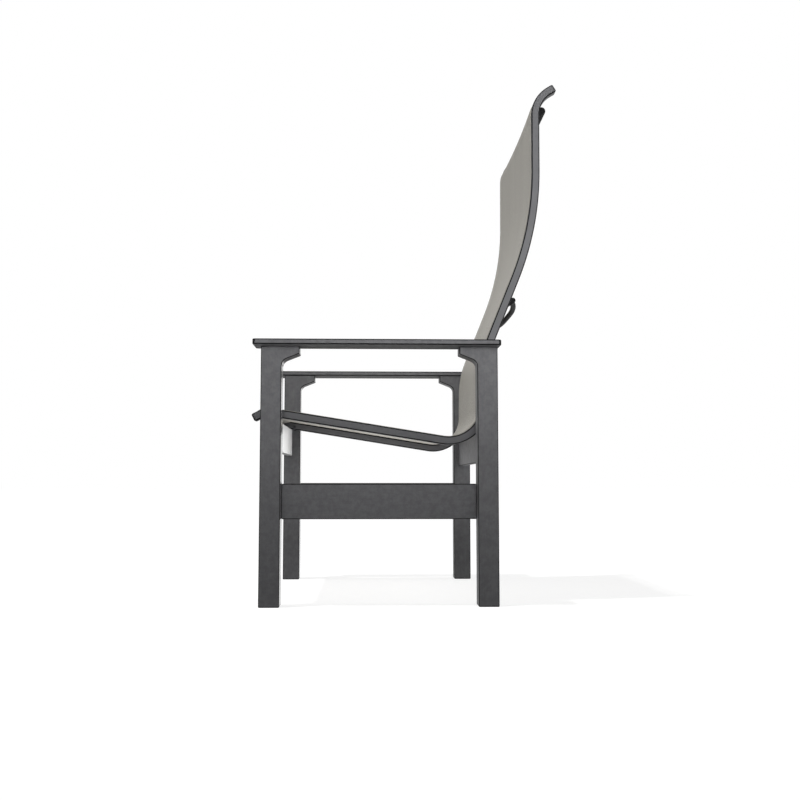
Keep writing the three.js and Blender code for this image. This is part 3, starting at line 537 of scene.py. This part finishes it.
rail_coat = rail_finish()
profile, nearness = rail_profile()
rows = stations(CAP_LENGTH + SEAM, rail_length - CAP_LENGTH - SEAM)
for side, way in SIDES:
    grid = on_path(rows[:, None, :], way * (RAIL_X + profile[None, :, 0]), profile[None, :, 1])
    rail = surface(f"bent_rail_{side}", grid)
    mark_arrises(rail, np.broadcast_to(nearness, grid.shape[:2]))
    fit(rail, f"sling_rail_{side}", rail_coat)


# Rail ends: a cap in the rail's own outline closes each end of the extrusion, rounded off
# so that it doesn't catch. Moulded in plastic and coloured like the rail.

CAP_ROUND, LEAST_ROUND = 0.0044, 0.0006
CAP_COLOUR = "#5f5f61"


def cap_grid(row, outward, way):
    """Rings that shrink towards the middle as a quarter circle, from the seam to the tip.
    The two ends of the rail turn opposite ways round. Beside it is how near each point is to
    an arris, for the painted shade: along the rail as on the rail itself, and round the tip as
    the sine of twice the quarter circle's angle."""
    turn = np.linspace(0, np.pi / 2, 8)
    reach = np.concatenate([[0.0], CAP_LENGTH - CAP_ROUND + CAP_ROUND * np.sin(turn)])
    inset = np.concatenate([[0.0], CAP_ROUND * (1 - np.cos(turn))])
    rings = np.stack([rounded_box(RAIL_HALF - d, max(RAIL_ROUND - d, LEAST_ROUND)) for d in inset])
    place = on_path(row[None, None, :], way * (RAIL_X + rings[..., 0]), rings[..., 1])
    direction = outward * np.array([0.0, np.cos(row[2]), np.sin(row[2])])
    tip = np.concatenate([[0.0], np.sin(2 * turn)])[:, None]
    nearness = np.maximum(near_arris(rings[:1]), tip)
    return place + direction * (reach[:, None, None] - CAP_LENGTH), nearness


cap_finish = Finish("rail_cap_plastic", specular_ior_level=0.12)
cap_grain = cap_finish.noise(cap_finish.place(), [1200.0] * 3, detail=1.0)
cap_edge_shade = cap_finish.node("ShaderNodeAttribute", {"attribute_name": "arris"}, output="Fac")
# Painted shade along the cap's arrises and round its tip.
cap_finish.paint(
    base_color=cap_finish.blend(cap_edge_shade.ramp(0.1, 0.7), linear(CAP_COLOUR), linear(RAIL_EDGE_SHADE)),
    roughness=0.42 + cap_grain * 0.16,
    normal=cap_finish.bump(cap_grain, 0.00004, 0.5),
)
for end, row, outward in (("front", rail_path[0], -1), ("top", rail_path[-1], 1)):
    for side, way in SIDES:
        grid, nearness = cap_grid(row, outward, way)
        cap = surface(f"rail_end_{end}_{side}", grid)
        mark_arrises(cap, nearness)
        fit(cap, f"rail_{end}_cap_{side}", cap_finish.material)


# Sling: one length of coated polyester yarn in a plain weave, hemmed at both ends and drawn
# tight between the rails. Its long edges turn down into the grooves and are locked there
# by a spline. It hollows slightly across the seat.

CLOTH_THICK, CLOTH_SAG, EDGE_ROLL = 0.001, 0.004, 0.0012
CLOTH_TOP = RAIL_HALF[1] + SEAM + CLOTH_THICK
CLOTH_HALF = RAIL_X + GROOVE_U
RAIL_INNER = RAIL_X - RAIL_HALF[0]
SPLINE_RADIUS = 0.003
SPLINE_TOP = GROOVE_V + SPLINE_RADIUS + SEAM
FRONT_HEM_AT, TOP_HEM_AT = 0.016, rail_length - 0.066
YARN = 0.00125
# The last cloth colour is painted shade where the weave is low, between the yarns.
CLOTH, CLOTH_PALE, CLOTH_GAP_SHADE = "#96938c", "#a3a099", "#6d6a64"


def hollow(x):
    """How far the cloth lies under its edge: a parabola between the rails' inner sides."""
    return CLOTH_SAG * (1 - np.clip(np.abs(x) / RAIL_INNER, 0, 1) ** 2)


def cloth_profile():
    """The cloth's section, across on top and back underneath, as x and height over the path,
    and beside it the distance across. Each face hollows between the rails, and at both edges
    it rolls down by a quarter circle and then drops straight to the spline."""
    x = RAIL_INNER * np.linspace(-1, 1, 97)
    turn = np.linspace(0, np.pi / 2, 6)
    faces, across = [], []
    for edge, roll in ((CLOTH_HALF + CLOTH_THICK / 2, EDGE_ROLL),
                       (CLOTH_HALF - CLOTH_THICK / 2, EDGE_ROLL - CLOTH_THICK)):
        level = CLOTH_TOP - EDGE_ROLL
        flat = np.column_stack([x, level + roll - hollow(x)])
        drop = np.column_stack([
            np.append(edge - roll + roll * np.sin(turn), edge),
            np.append(level + roll * np.cos(turn), SPLINE_TOP),
        ])
        faces.append(np.concatenate([(drop * [-1, 1])[::-1], flat, drop]))
        run = distance_along(faces[-1])
        across.append(run - run[-1] / 2)
    return tuple(np.concatenate([upper, lower[::-1]]) for upper, lower in (faces, across))


def cloth_finish():
    """Plain weave in two directions of round yarn. Where the product of two sines is above 0
    the warp is on top, and elsewhere the weft, each with its own rounded height. Painted
    shade darkens the yarn where it is low, between the yarns."""
    finish = Finish("sling_weave", specular_ior_level=0.4)
    length = finish.node("ShaderNodeUVMap", {"uv_map": "length"})
    across, along, _ = finish.axes(length)
    per_yarn = float(np.pi / YARN)
    warp = (across * per_yarn).sine()
    weft = (along * per_yarn).sine()
    over = (warp * weft).ramp(-0.12, 0.12)
    height = warp.size() * over + weft.size() * (1 - over)
    streaks = finish.noise(length, [90.0, 1.6, 1.0], detail=3.0)
    bands = finish.noise(length, [14.0, 0.9, 1.0], detail=2.0, seed=4.0)
    tone = (streaks * 0.6 + bands * 0.4).ramp(0.3, 0.7)
    yarn = finish.blend(tone, linear(CLOTH), linear(CLOTH_PALE))
    return finish.paint(
        base_color=finish.blend(height.ramp(0.05, 0.6), linear(CLOTH_GAP_SHADE), yarn),
        roughness=0.74 - height * 0.08,
        normal=finish.bump(height, 0.00016, 0.4),
    ).material


cloth = cloth_finish()
profile, across = cloth_profile()
rows = stations(FRONT_HEM_AT, TOP_HEM_AT)
grid = on_path(rows[:, None, :], profile[None, :, 0], profile[None, :, 1])
uv = np.stack(np.broadcast_arrays(across[None, :], rows[:, 3:4]), axis=-1)
sling = surface("woven_sling", grid, uv=uv)
fit(sling, "sling", cloth)


# Hems: the sling's two ends are folded under and sewn down with two rows of lockstitch.
# The fold stops short of the rails, so that it doesn't pinch in the grooves.

HEM_LENGTH, HEM_THICK, HEM_GAP = 0.028, 0.0009, 0.00005
FOLD_HALF = RAIL_INNER - 0.003
STITCH_PITCH, STITCH_LENGTH, STITCH_DIP = 0.0042, 0.0034, 0.0003
SEWN_HALF = FOLD_HALF - 0.004
SEWN_ROWS = (0.005, 0.0245)
THREAD_RADIUS = 0.00032
THREAD, THREAD_PALE = "#77746e", "#938f87"


def hem_grid(start, inward):
    """A flat fold under the cloth: its outline runs along the sling and back, rounded where
    the cloth turns, and is carried across while it follows the cloth's hollow. Beside it are
    the distances across and along."""
    turn = np.linspace(-np.pi / 2, np.pi / 2, 7)
    half = HEM_THICK / 2
    nose = np.column_stack([-half * np.cos(turn), half * np.sin(turn) - half])
    back = np.column_stack([np.full(2, HEM_LENGTH), [0.0, -HEM_THICK]])
    outline = np.concatenate([nose, back])
    x = np.linspace(-FOLD_HALF, FOLD_HALF, 81)
    run = start + inward * (outline[:, 0] + half)
    rows = np.column_stack([np.interp(run, rail_path[:, 3], rail_path[:, i]) for i in range(3)])
    height = CLOTH_TOP - CLOTH_THICK - HEM_GAP - hollow(x)[:, None] + outline[None, :, 1]
    grid = on_path(rows[None, :, :], x[:, None] + 0 * height, height)
    return grid, np.stack(np.broadcast_arrays(x[:, None], run[None, :]), axis=-1)


def stitch_grid(start, inward, lift):
    """Many short threads. Each is a ring of points round a line that dips into the cloth by
    the square of the share from its middle, and it thins towards both ends by the root of
    one less the share's fourth power. It is repeated along both rows of the seam."""
    count = int(2 * SEWN_HALF / STITCH_PITCH)
    centre = (np.arange(count) - (count - 1) / 2) * STITCH_PITCH
    share = np.linspace(-1, 1, 6)
    ring = np.linspace(0, 2 * np.pi, 6, endpoint=False)
    thin = THREAD_RADIUS * np.sqrt(np.clip(1 - share ** 4, 0.05, 1))
    x = centre[:, None, None] + share[None, :, None] * STITCH_LENGTH / 2 + 0 * ring
    rise = thin[:, None] * np.sin(ring)[None, :] - STITCH_DIP * share[:, None] ** 2
    shift = thin[:, None] * np.cos(ring)[None, :]
    grids = []
    for at in SEWN_ROWS:
        run = start + inward * (at + shift[None] + 0 * x)
        rows = np.stack([np.interp(run, rail_path[:, 3], rail_path[:, i]) for i in range(3)], axis=-1)
        grids.append(on_path(rows, x, lift - hollow(x) + rise[None]))
    return np.concatenate(grids)


def threads(name, grid):
    """One mesh of many closed tubes, each rows by columns."""
    count, rows, columns = grid.shape[:3]
    index = np.arange(rows * columns).reshape(rows, columns)
    index = np.column_stack([index, index[:, 0]])
    shift = (np.arange(count) * rows * columns)[:, None, None]
    faces = (quads_of(index)[None] + shift).reshape(-1, 4).tolist()
    ends = np.stack([index[0, :-1], index[-1, :-1][::-1]])
    faces += (ends[None] + shift).reshape(-1, columns).tolist()
    mesh = bpy.data.meshes.new(name)
    mesh.from_pydata(grid.reshape(-1, 3).tolist(), [], faces)
    if signed_volume(mesh) < 0:
        mesh.flip_normals()
    mesh.shade_smooth()
    piece = bpy.data.objects.new(name, mesh)
    bpy.context.scene.collection.objects.link(piece)
    return piece


thread_finish = Finish("hem_thread", roughness=0.7)
twist = thread_finish.noise(thread_finish.place(), [2600.0, 900.0, 900.0], detail=1.0)
thread_finish.paint(
    base_color=thread_finish.blend(twist.ramp(0.3, 0.7), linear(THREAD), linear(THREAD_PALE)),
    normal=thread_finish.bump(twist, 0.00008, 0.5),
)
under_fold = CLOTH_TOP - CLOTH_THICK - HEM_GAP - HEM_THICK
for end, start, inward in (("front", FRONT_HEM_AT, 1), ("top", TOP_HEM_AT, -1)):
    grid, uv = hem_grid(start, inward)
    fold = surface(f"{end}_hem_fold", grid, uv=uv)
    fold.data.materials.append(cloth)
    sewn = [stitch_grid(start, inward, lift) for lift in (CLOTH_TOP, under_fold)]
    stitches = threads(f"{end}_hem_stitches", np.concatenate(sewn))
    stitches.data.materials.append(thread_finish.material)
    for piece in (fold, stitches):
        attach(piece, "root")


# Splines: black plastic rods that lock the sling's edges in the rails' grooves. They only
# show as a dark line at the groove's mouth and at its two ends.

spline_finish = Finish("spline_plastic", base_color=linear("#1c1c1e"))
rod_marks = spline_finish.noise(spline_finish.place(), [1500.0, 60.0, 60.0], detail=1.0)
spline_finish.paint(roughness=0.4 + rod_marks * 0.2)
for side, _ in SIDES:
    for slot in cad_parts[f"sling_spline_{side}"].material_slots:
        slot.material = spline_finish.material


# Spreader tubes: round aluminium tubes in black powder coat that hold the rails apart against
# the sling's pull. The upper one is straight. The lower one bows back, clear of the sitter.

TOP_RADIUS, TOP_WALL = 0.0095, 0.0016
LUMBAR_RADIUS, LUMBAR_WALL = 0.0063, 0.0014
LUMBAR_BOW, LUMBAR_STUB = 0.0206, 0.017
TUBE_COLOUR, TUBE_COLOUR_PALE = "#0d0d0e", "#141415"


def tube_grid(centre, outer, wall):
    """A tube with a wall round a line in a level plane: circles of the outer radius from end
    to end, then circles of the inner radius back again, so that both ends close on themselves."""
    tangent = np.gradient(centre, axis=0)
    tangent /= np.linalg.norm(tangent, axis=1)[:, None]
    turn = np.linspace(0, 2 * np.pi, 40, endpoint=False)
    across = np.stack([-tangent[:, 1], tangent[:, 0], 0 * tangent[:, 0]], axis=-1)
    up = np.array([0.0, 0.0, 1.0])
    centre = np.concatenate([centre, centre[::-1]])
    across = np.concatenate([across, across[::-1]])
    radius = np.repeat([outer, outer - wall], len(centre) // 2)[:, None, None]
    circle = np.cos(turn)[None, :, None] * across[:, None, :] + np.sin(turn)[None, :, None] * up
    return centre[:, None, :] + radius * circle


def straight_centre(node):
    """The line through the middle of a straight tube's box."""
    low, high = map(np.array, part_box(node))
    x = np.linspace(low[0], high[0], 24)
    y, z = (low[1:] + high[1:]) / 2
    return np.column_stack([x, np.full_like(x, y), np.full_like(x, z)])


def bowed_centre(node):
    """Straight stubs at both ends, and between them back by the bow times one less the cube of
    the share from the middle. A running mean weighted by a raised cosine eases the corners."""
    low, high = map(np.array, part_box(node))
    x = np.linspace(low[0], high[0], 161)
    share = np.clip(np.abs(x) / (high[0] - LUMBAR_STUB), 0, 1)
    y = low[1] + LUMBAR_RADIUS + LUMBAR_BOW * (1 - share ** 3)
    weight = np.hanning(9) / np.hanning(9).sum()
    y = np.convolve(np.pad(y, len(weight) // 2, mode="edge"), weight, mode="valid")
    return np.column_stack([x, y, np.full_like(x, (low[2] + high[2]) / 2)])


def tube_finish():
    """Black powder coat with a fine peel."""
    finish = Finish("spreader_powder_coat", specular_ior_level=0.04)
    place = finish.place()
    peel = finish.noise(place, [700.0] * 3, detail=2.0)
    clouds = finish.noise(place, [20.0, 60.0, 60.0], detail=3.0).ramp(0.35, 0.65)
    return finish.paint(
        base_color=finish.blend(clouds, linear(TUBE_COLOUR), linear(TUBE_COLOUR_PALE)),
        roughness=0.48 + peel * 0.14,
        normal=finish.bump(peel, 0.00006, 0.5),
    ).material


tube_coat = tube_finish()
for node, radius, wall, centre in (
    ("top_spreader", TOP_RADIUS, TOP_WALL, straight_centre("top_spreader")),
    ("lumbar_spreader", LUMBAR_RADIUS, LUMBAR_WALL, bowed_centre("lumbar_spreader")),
):
    tube = surface(f"{node}_tube", tube_grid(centre, radius, wall), along=True)
    fit(tube, node, tube_coat)


# Tube plugs and rail spacers: moulded black plastic. A plug fills a tube's end and lies
# against the rail with an ear for its screw. A spacer keeps the rail off the leg.

MOULDED, MOULDED_PALE = "#0e0e0f", "#161617"
PLUG_PLATE, PLUG_EDGE, SPACER_EDGE = 0.003, 0.0006, 0.0004

moulded = Finish("moulded_plastic", specular_ior_level=0.15)
mould_grain = moulded.noise(moulded.place(), [1400.0] * 3, detail=2.0)
moulded.paint(
    base_color=moulded.blend(mould_grain.ramp(0.35, 0.65), linear(MOULDED), linear(MOULDED_PALE)),
    roughness=0.5 + mould_grain * 0.16,
    normal=moulded.bump(mould_grain, 0.00005, 0.5),
)


def stadium(centres, radius):
    """The outline of two equal circles in a band, and its normals: the point for each
    direction lies on the circle that reaches further that way."""
    turn = np.linspace(0, 2 * np.pi, 64, endpoint=False)
    normal = np.column_stack([np.cos(turn), np.sin(turn)])
    further = np.argmax(normal @ centres.T, axis=1)
    return centres[further] + radius * normal, normal


def middle_of(node):
    """The middle of a node's box, seen from the side."""
    low, high = map(np.array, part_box(node))
    return (low + high)[1:] / 2


for side, way in SIDES:
    for place, radius, draft in (("top", 0.009, 0.0), ("lumbar", 0.007, 0.0006)):
        node = f"{place}_spreader_plug_{side}"
        low, high = np.array(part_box(node))
        axis = high[1:] - radius
        screw = middle_of(f"{place}_plug_screw_{side}")
        outline, normal = stadium(np.array([axis, screw]), radius - draft)
        face = max(abs(low[0]), abs(high[0]))
        plate = sorted([way * (face - PLUG_PLATE), way * face])
        plug = slab(f"{place}_tube_plug_{side}", outline, normal, (Y, Z, X), plate, PLUG_EDGE)
        fit(plug, node, moulded.material)
    for end in ("front", "rear"):
        node = f"rail_spacer_{end}_{side}"
        low, high = np.array(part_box(node))
        centre = middle_of(node)
        outline, normal = stadium(np.array([centre, centre]), (high[1] - low[1]) / 2)
        width = (low[0], high[0])
        bush = slab(f"rail_bush_{end}_{side}", outline, normal, (Y, Z, X), width, SPACER_EDGE)
        fit(bush, node, moulded.material)


# Screws and bolts: steel under a black oxide, with hexagon sockets. Countersunk ones join the
# boards, and button-headed ones hold the rails to the legs and the plugs to the rails.

SCREW_SHANK, SCREW_HEAD, SCREW_SINK = 0.0021, 0.0044, 0.00025
BOLT_SHANK, BOLT_HEAD, BOLT_RISE, BOLT_SOCKET = 0.0025, 0.0044, 0.0028, 0.0016
PLUG_SHANK, PLUG_HEAD, PLUG_RISE, PLUG_SOCKET = 0.0019, 0.0034, 0.0022, 0.0012
ARM_SCREW, APRON_SCREW, STRETCHER_SCREW = 0.055, 0.034, 0.074
BOLT_LENGTH, PLUG_SCREW = 0.0593, 0.012
SCREW_SOCKET, SCREW_SOCKET_DEPTH, BROKEN_EDGE = 0.0015, 0.0018, 0.0002
SEAT = np.array([(0.0057, 0.001), (0.0047, 0.0), (0.0024, -0.0036), (0.0024, -0.008)])
STEEL, STEEL_PALE = "#515154", "#616165"


def turned(radius, height, turn):
    """Rings of points round the z axis, each with a radius and a height."""
    return np.stack([radius * np.cos(turn), radius * np.sin(turn), height + 0 * turn], axis=-1)


def fastener_grid(length, shank, crown, socket, socket_depth, pointed):
    """Rings of a radius at a height, from the point up over the head's crown. The last rings
    follow a hexagon: its radius is the flat's distance over the cosine of the angle from the
    middle of the flat."""
    turn = np.linspace(0, 2 * np.pi, 36, endpoint=False)
    hexagon = socket / np.cos((turn + np.pi / 6) % (np.pi / 3) - np.pi / 6)
    blunt, taper = (0.35, 0.005) if pointed else (0.9, 0.0006)
    rings = np.array([(blunt * shank, -length), (shank, taper - length), *crown])
    top = rings[-1, 1]
    radius = np.concatenate([rings[:, :1] + 0 * turn, [hexagon + BROKEN_EDGE, hexagon, hexagon]])
    height = np.concatenate([rings[:, 1], [top, top - BROKEN_EDGE, top - socket_depth]])
    return turned(radius, height[:, None], turn)


def countersunk(length):
    """A screw with a point and a flat head that is a cone underneath."""
    crown = [(SCREW_SHANK, -0.0032), (SCREW_HEAD - 0.0002, -0.0004), (SCREW_HEAD, -0.0002),
             (SCREW_HEAD - 0.0001, 0.0)]
    return fastener_grid(length, SCREW_SHANK, crown, SCREW_SOCKET, SCREW_SOCKET_DEPTH, True)


def button_headed(length, shank, head, rise, socket):
    """A bolt with a shallow dome over a flat seat: its height falls as a quarter circle does."""
    turn = np.linspace(0.25, 1.1, 7)
    dome = zip(head * np.cos(turn) / np.cos(turn[0]), rise * np.sin(turn) / np.sin(turn[-1]))
    crown = [(shank, 0.0), (head - 0.0001, 0.0), *dome]
    return fastener_grid(length, shank, crown, socket, socket, False)


def placed(grid, node, axis, way):
    """Turns a fastener's height along one axis of the chair, from that end of its node's box."""
    low, high = map(np.array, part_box(node))
    head = (low + high) / 2
    head[axis] = high[axis] if way > 0 else low[axis]
    laid = np.empty_like(grid)
    laid[..., axis] = way * grid[..., 2]
    laid[..., (axis + 1) % 3], laid[..., (axis + 2) % 3] = grid[..., 0], grid[..., 1]
    return head + laid


def cut_seat(board, node, axis, way):
    """Cuts a screw's seat into its board: a cone from the face down, and a plain hole."""
    turn = np.linspace(0, 2 * np.pi, 40, endpoint=False)
    cone = turned(SEAT[:, :1], SEAT[:, 1:], turn)
    cutter = surface("seat_cutter", placed(cone, node, axis, way))
    cut = board.modifiers.new("seat", "BOOLEAN")
    cut.object, cut.solver, cut.operation = cutter, "EXACT", "DIFFERENCE"
    evaluated = board.evaluated_get(bpy.context.evaluated_depsgraph_get())
    mesh = bpy.data.meshes.new_from_object(evaluated)
    board.modifiers.clear()
    board.data = mesh
    mesh.shade_smooth()
    mesh.set_sharp_from_angle(angle=SHARP_FROM)
    bpy.data.objects.remove(cutter)


def steel_finish():
    """Steel under a black oxide, with fine turning marks."""
    finish = Finish("oxidised_steel", metallic=1.0)
    marks = finish.noise(finish.place(), [1800.0] * 3, detail=1.0)
    return finish.paint(
        base_color=finish.blend(marks.ramp(0.3, 0.7), linear(STEEL), linear(STEEL_PALE)),
        roughness=0.34 + marks * 0.16,
    ).material


steel = steel_finish()


def fasten(node, axis, way, grid, sink):
    """Puts a fastener in place of its node, its head's height 0 a sink inside the box's end."""
    grid = placed(grid - [0.0, 0.0, sink], node, axis, way)
    fit(surface(f"{node}_turned", grid), node, steel)


for side, way in SIDES:
    for end, out in (("front", -1), ("rear", 1)):
        leg = boards[f"{end}_leg_{side}"]
        for node, axis, face, length, board in (
            (f"arm_screw_{end}_{side}", Z, 1, ARM_SCREW, boards[f"arm_{side}"]),
            (f"apron_screw_{end}_{side}", Y, out, APRON_SCREW, leg),
            (f"stretcher_screw_{end}_lower_{side}", Y, out, STRETCHER_SCREW, leg),
            (f"stretcher_screw_{end}_upper_{side}", Y, out, STRETCHER_SCREW, leg),
        ):
            cut_seat(board, node, axis, face)
            fasten(node, axis, face, countersunk(length), SCREW_SINK)
        bolt = button_headed(BOLT_LENGTH, BOLT_SHANK, BOLT_HEAD, BOLT_RISE, BOLT_SOCKET)
        fasten(f"rail_bolt_{end}_{side}", X, -way, bolt, BOLT_RISE)
    for place in ("top", "lumbar"):
        screw = button_headed(PLUG_SCREW, PLUG_SHANK, PLUG_HEAD, PLUG_RISE, PLUG_SOCKET)
        fasten(f"{place}_plug_screw_{side}", X, -way, screw, PLUG_RISE)


# Studio: a plain pale floor that fades into the backdrop and is clear from below, and a soft
# sky. One lamp high in front draws the shadow. Broad soft lamps stand on both sides, in front
# and behind, and a small one on the floor is its glow under the seat.

FLOOR_REACH, FLOOR_GLOW, SKY_GLOW = 30.0, 0.76, 0.22
FLOOR_SHOWN, FLOOR_BOUNCE = (0.42, 0.42, 0.42, 1), (0.35, 0.35, 0.35, 1)
WHITE = (1, 1, 1, 1)


def stage_nodes(owner):
    """The emptied node tree of a material or the world."""
    owner.use_nodes = True
    owner.node_tree.nodes.clear()
    return Nodes(owner.node_tree)


def shown(stage):
    """1 for what the camera and glossy surfaces see, and 0 for what lights the chair."""
    camera = stage.node("ShaderNodeLightPath", output="Is Camera Ray")
    return camera.most(stage.node("ShaderNodeLightPath", output="Is Glossy Ray"))


def close_tree(stage, kind, shader):
    """Adds the output node that a shader goes to."""
    stage.give(stage.tree.nodes.new(kind).inputs["Surface"], shader)


corners = [(FLOOR_REACH * x, FLOOR_REACH * y, 0) for x, y in ((-1, -1), (1, -1), (1, 1), (-1, 1))]
floor_mesh = bpy.data.meshes.new("studio_floor")
floor_mesh.from_pydata(corners, [], [(0, 1, 2, 3)])
floor = bpy.data.objects.new("studio_floor", floor_mesh)
bpy.context.scene.collection.objects.link(floor)
floor_material = bpy.data.materials.new("studio_floor")
floor_mesh.materials.append(floor_material)
stage = stage_nodes(floor_material)
lit = stage.node("ShaderNodeBsdfDiffuse", None, FLOOR_SHOWN)
glow = stage.node("ShaderNodeEmission", None, WHITE, FLOOR_GLOW)
seen = stage.node("ShaderNodeAddShader", None, lit, glow)
bounce = stage.node("ShaderNodeBsdfDiffuse", None, FLOOR_BOUNCE)
above = stage.node("ShaderNodeMixShader", None, shown(stage), bounce, seen)
below = stage.node("ShaderNodeNewGeometry", output="Backfacing")
clear = stage.node("ShaderNodeBsdfTransparent")
either = stage.node("ShaderNodeMixShader", None, below, above, clear)
close_tree(stage, "ShaderNodeOutputMaterial", either)

world = bpy.data.worlds.new("studio")
bpy.context.scene.world = world
stage = stage_nodes(world)
sky = stage.node("ShaderNodeBackground", strength=SKY_GLOW)
backdrop = stage.node("ShaderNodeBackground", None, WHITE)
both = stage.node("ShaderNodeMixShader", None, shown(stage), sky, backdrop)
close_tree(stage, "ShaderNodeOutputWorld", both)


def aimed(direction):
    """The turn of a lamp that shines along a direction."""
    return Vector(direction).to_track_quat("-Z", "Y").to_matrix().to_4x4()


def softbox(name, place, aim, size, spread, energy):
    """A broad lamp with a grid, which holds its light within the spread. Only its light shows."""
    lamp = bpy.data.lights.new(name, "AREA")
    lamp.shape = "RECTANGLE"
    lamp.size, lamp.size_y = size
    lamp.spread = np.radians(spread)
    lamp.energy = energy
    held = bpy.data.objects.new(name, lamp)
    held.matrix_world = Matrix.Translation(place) @ aimed(Vector(aim) - Vector(place))
    held.visible_camera = False
    held.visible_glossy = False
    bpy.context.scene.collection.objects.link(held)


sun = bpy.data.lights.new("high_lamp", "SUN")
sun.energy = 1.4
sun.angle = np.radians(2.0)
high_lamp = bpy.data.objects.new("high_lamp", sun)
high_lamp.matrix_world = aimed((-0.132, 0.364, -1.178))
bpy.context.scene.collection.objects.link(high_lamp)
for side, way in SIDES:
    softbox(f"{side}_softbox", (way * 1.6, 0.2, 0.9), (way * 0.3, 0.2, 0.9), (1.4, 1.0),
            spread=45, energy=4.8)
softbox("front_softbox", (-0.1, -2.2, 1.5), (0.0, 0.15, 0.75), (1.2, 1.0), spread=90, energy=4.5)
softbox("rear_softbox", (0.1, 2.3, 0.9), (0.0, 0.1, 0.6), (1.4, 1.2), spread=60, energy=6.0)
softbox("floor_reflector", (0.0, -0.07, 0.02), (0.0, -0.069, 1.0), (0.36, 0.4),
        spread=110, energy=1.2)


# Camera: low on the chair's left and a little in front of its middle. It looks across the
# chair, turned two degrees to the back and tipped up by under five.

CAMERA_OUT, CAMERA_BACK, CAMERA_HEIGHT = 2.4069, 0.2351, 0.2701
PITCH, YAW = 0.0831, 0.0321

forward = Vector((-np.cos(PITCH) * np.cos(YAW), np.cos(PITCH) * np.sin(YAW), np.sin(PITCH)))
right = Vector((np.sin(YAW), np.cos(YAW), 0.0))
turn = Matrix((right, right.cross(forward), -forward)).transposed().to_4x4()
leg_front = float(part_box("front_leg_left")[0][1])
place = Matrix.Translation((CAMERA_OUT, leg_front + CAMERA_BACK, CAMERA_HEIGHT))
camera = bpy.data.objects.new("camera", bpy.data.cameras.new("camera"))
camera.data.sensor_width = 36.0
camera.data.lens = 43.456
camera.data.clip_end = 200.0
camera.matrix_world = place @ turn
bpy.context.scene.collection.objects.link(camera)
bpy.context.scene.camera = camera
bpy.context.scene.view_settings.view_transform = "Standard"
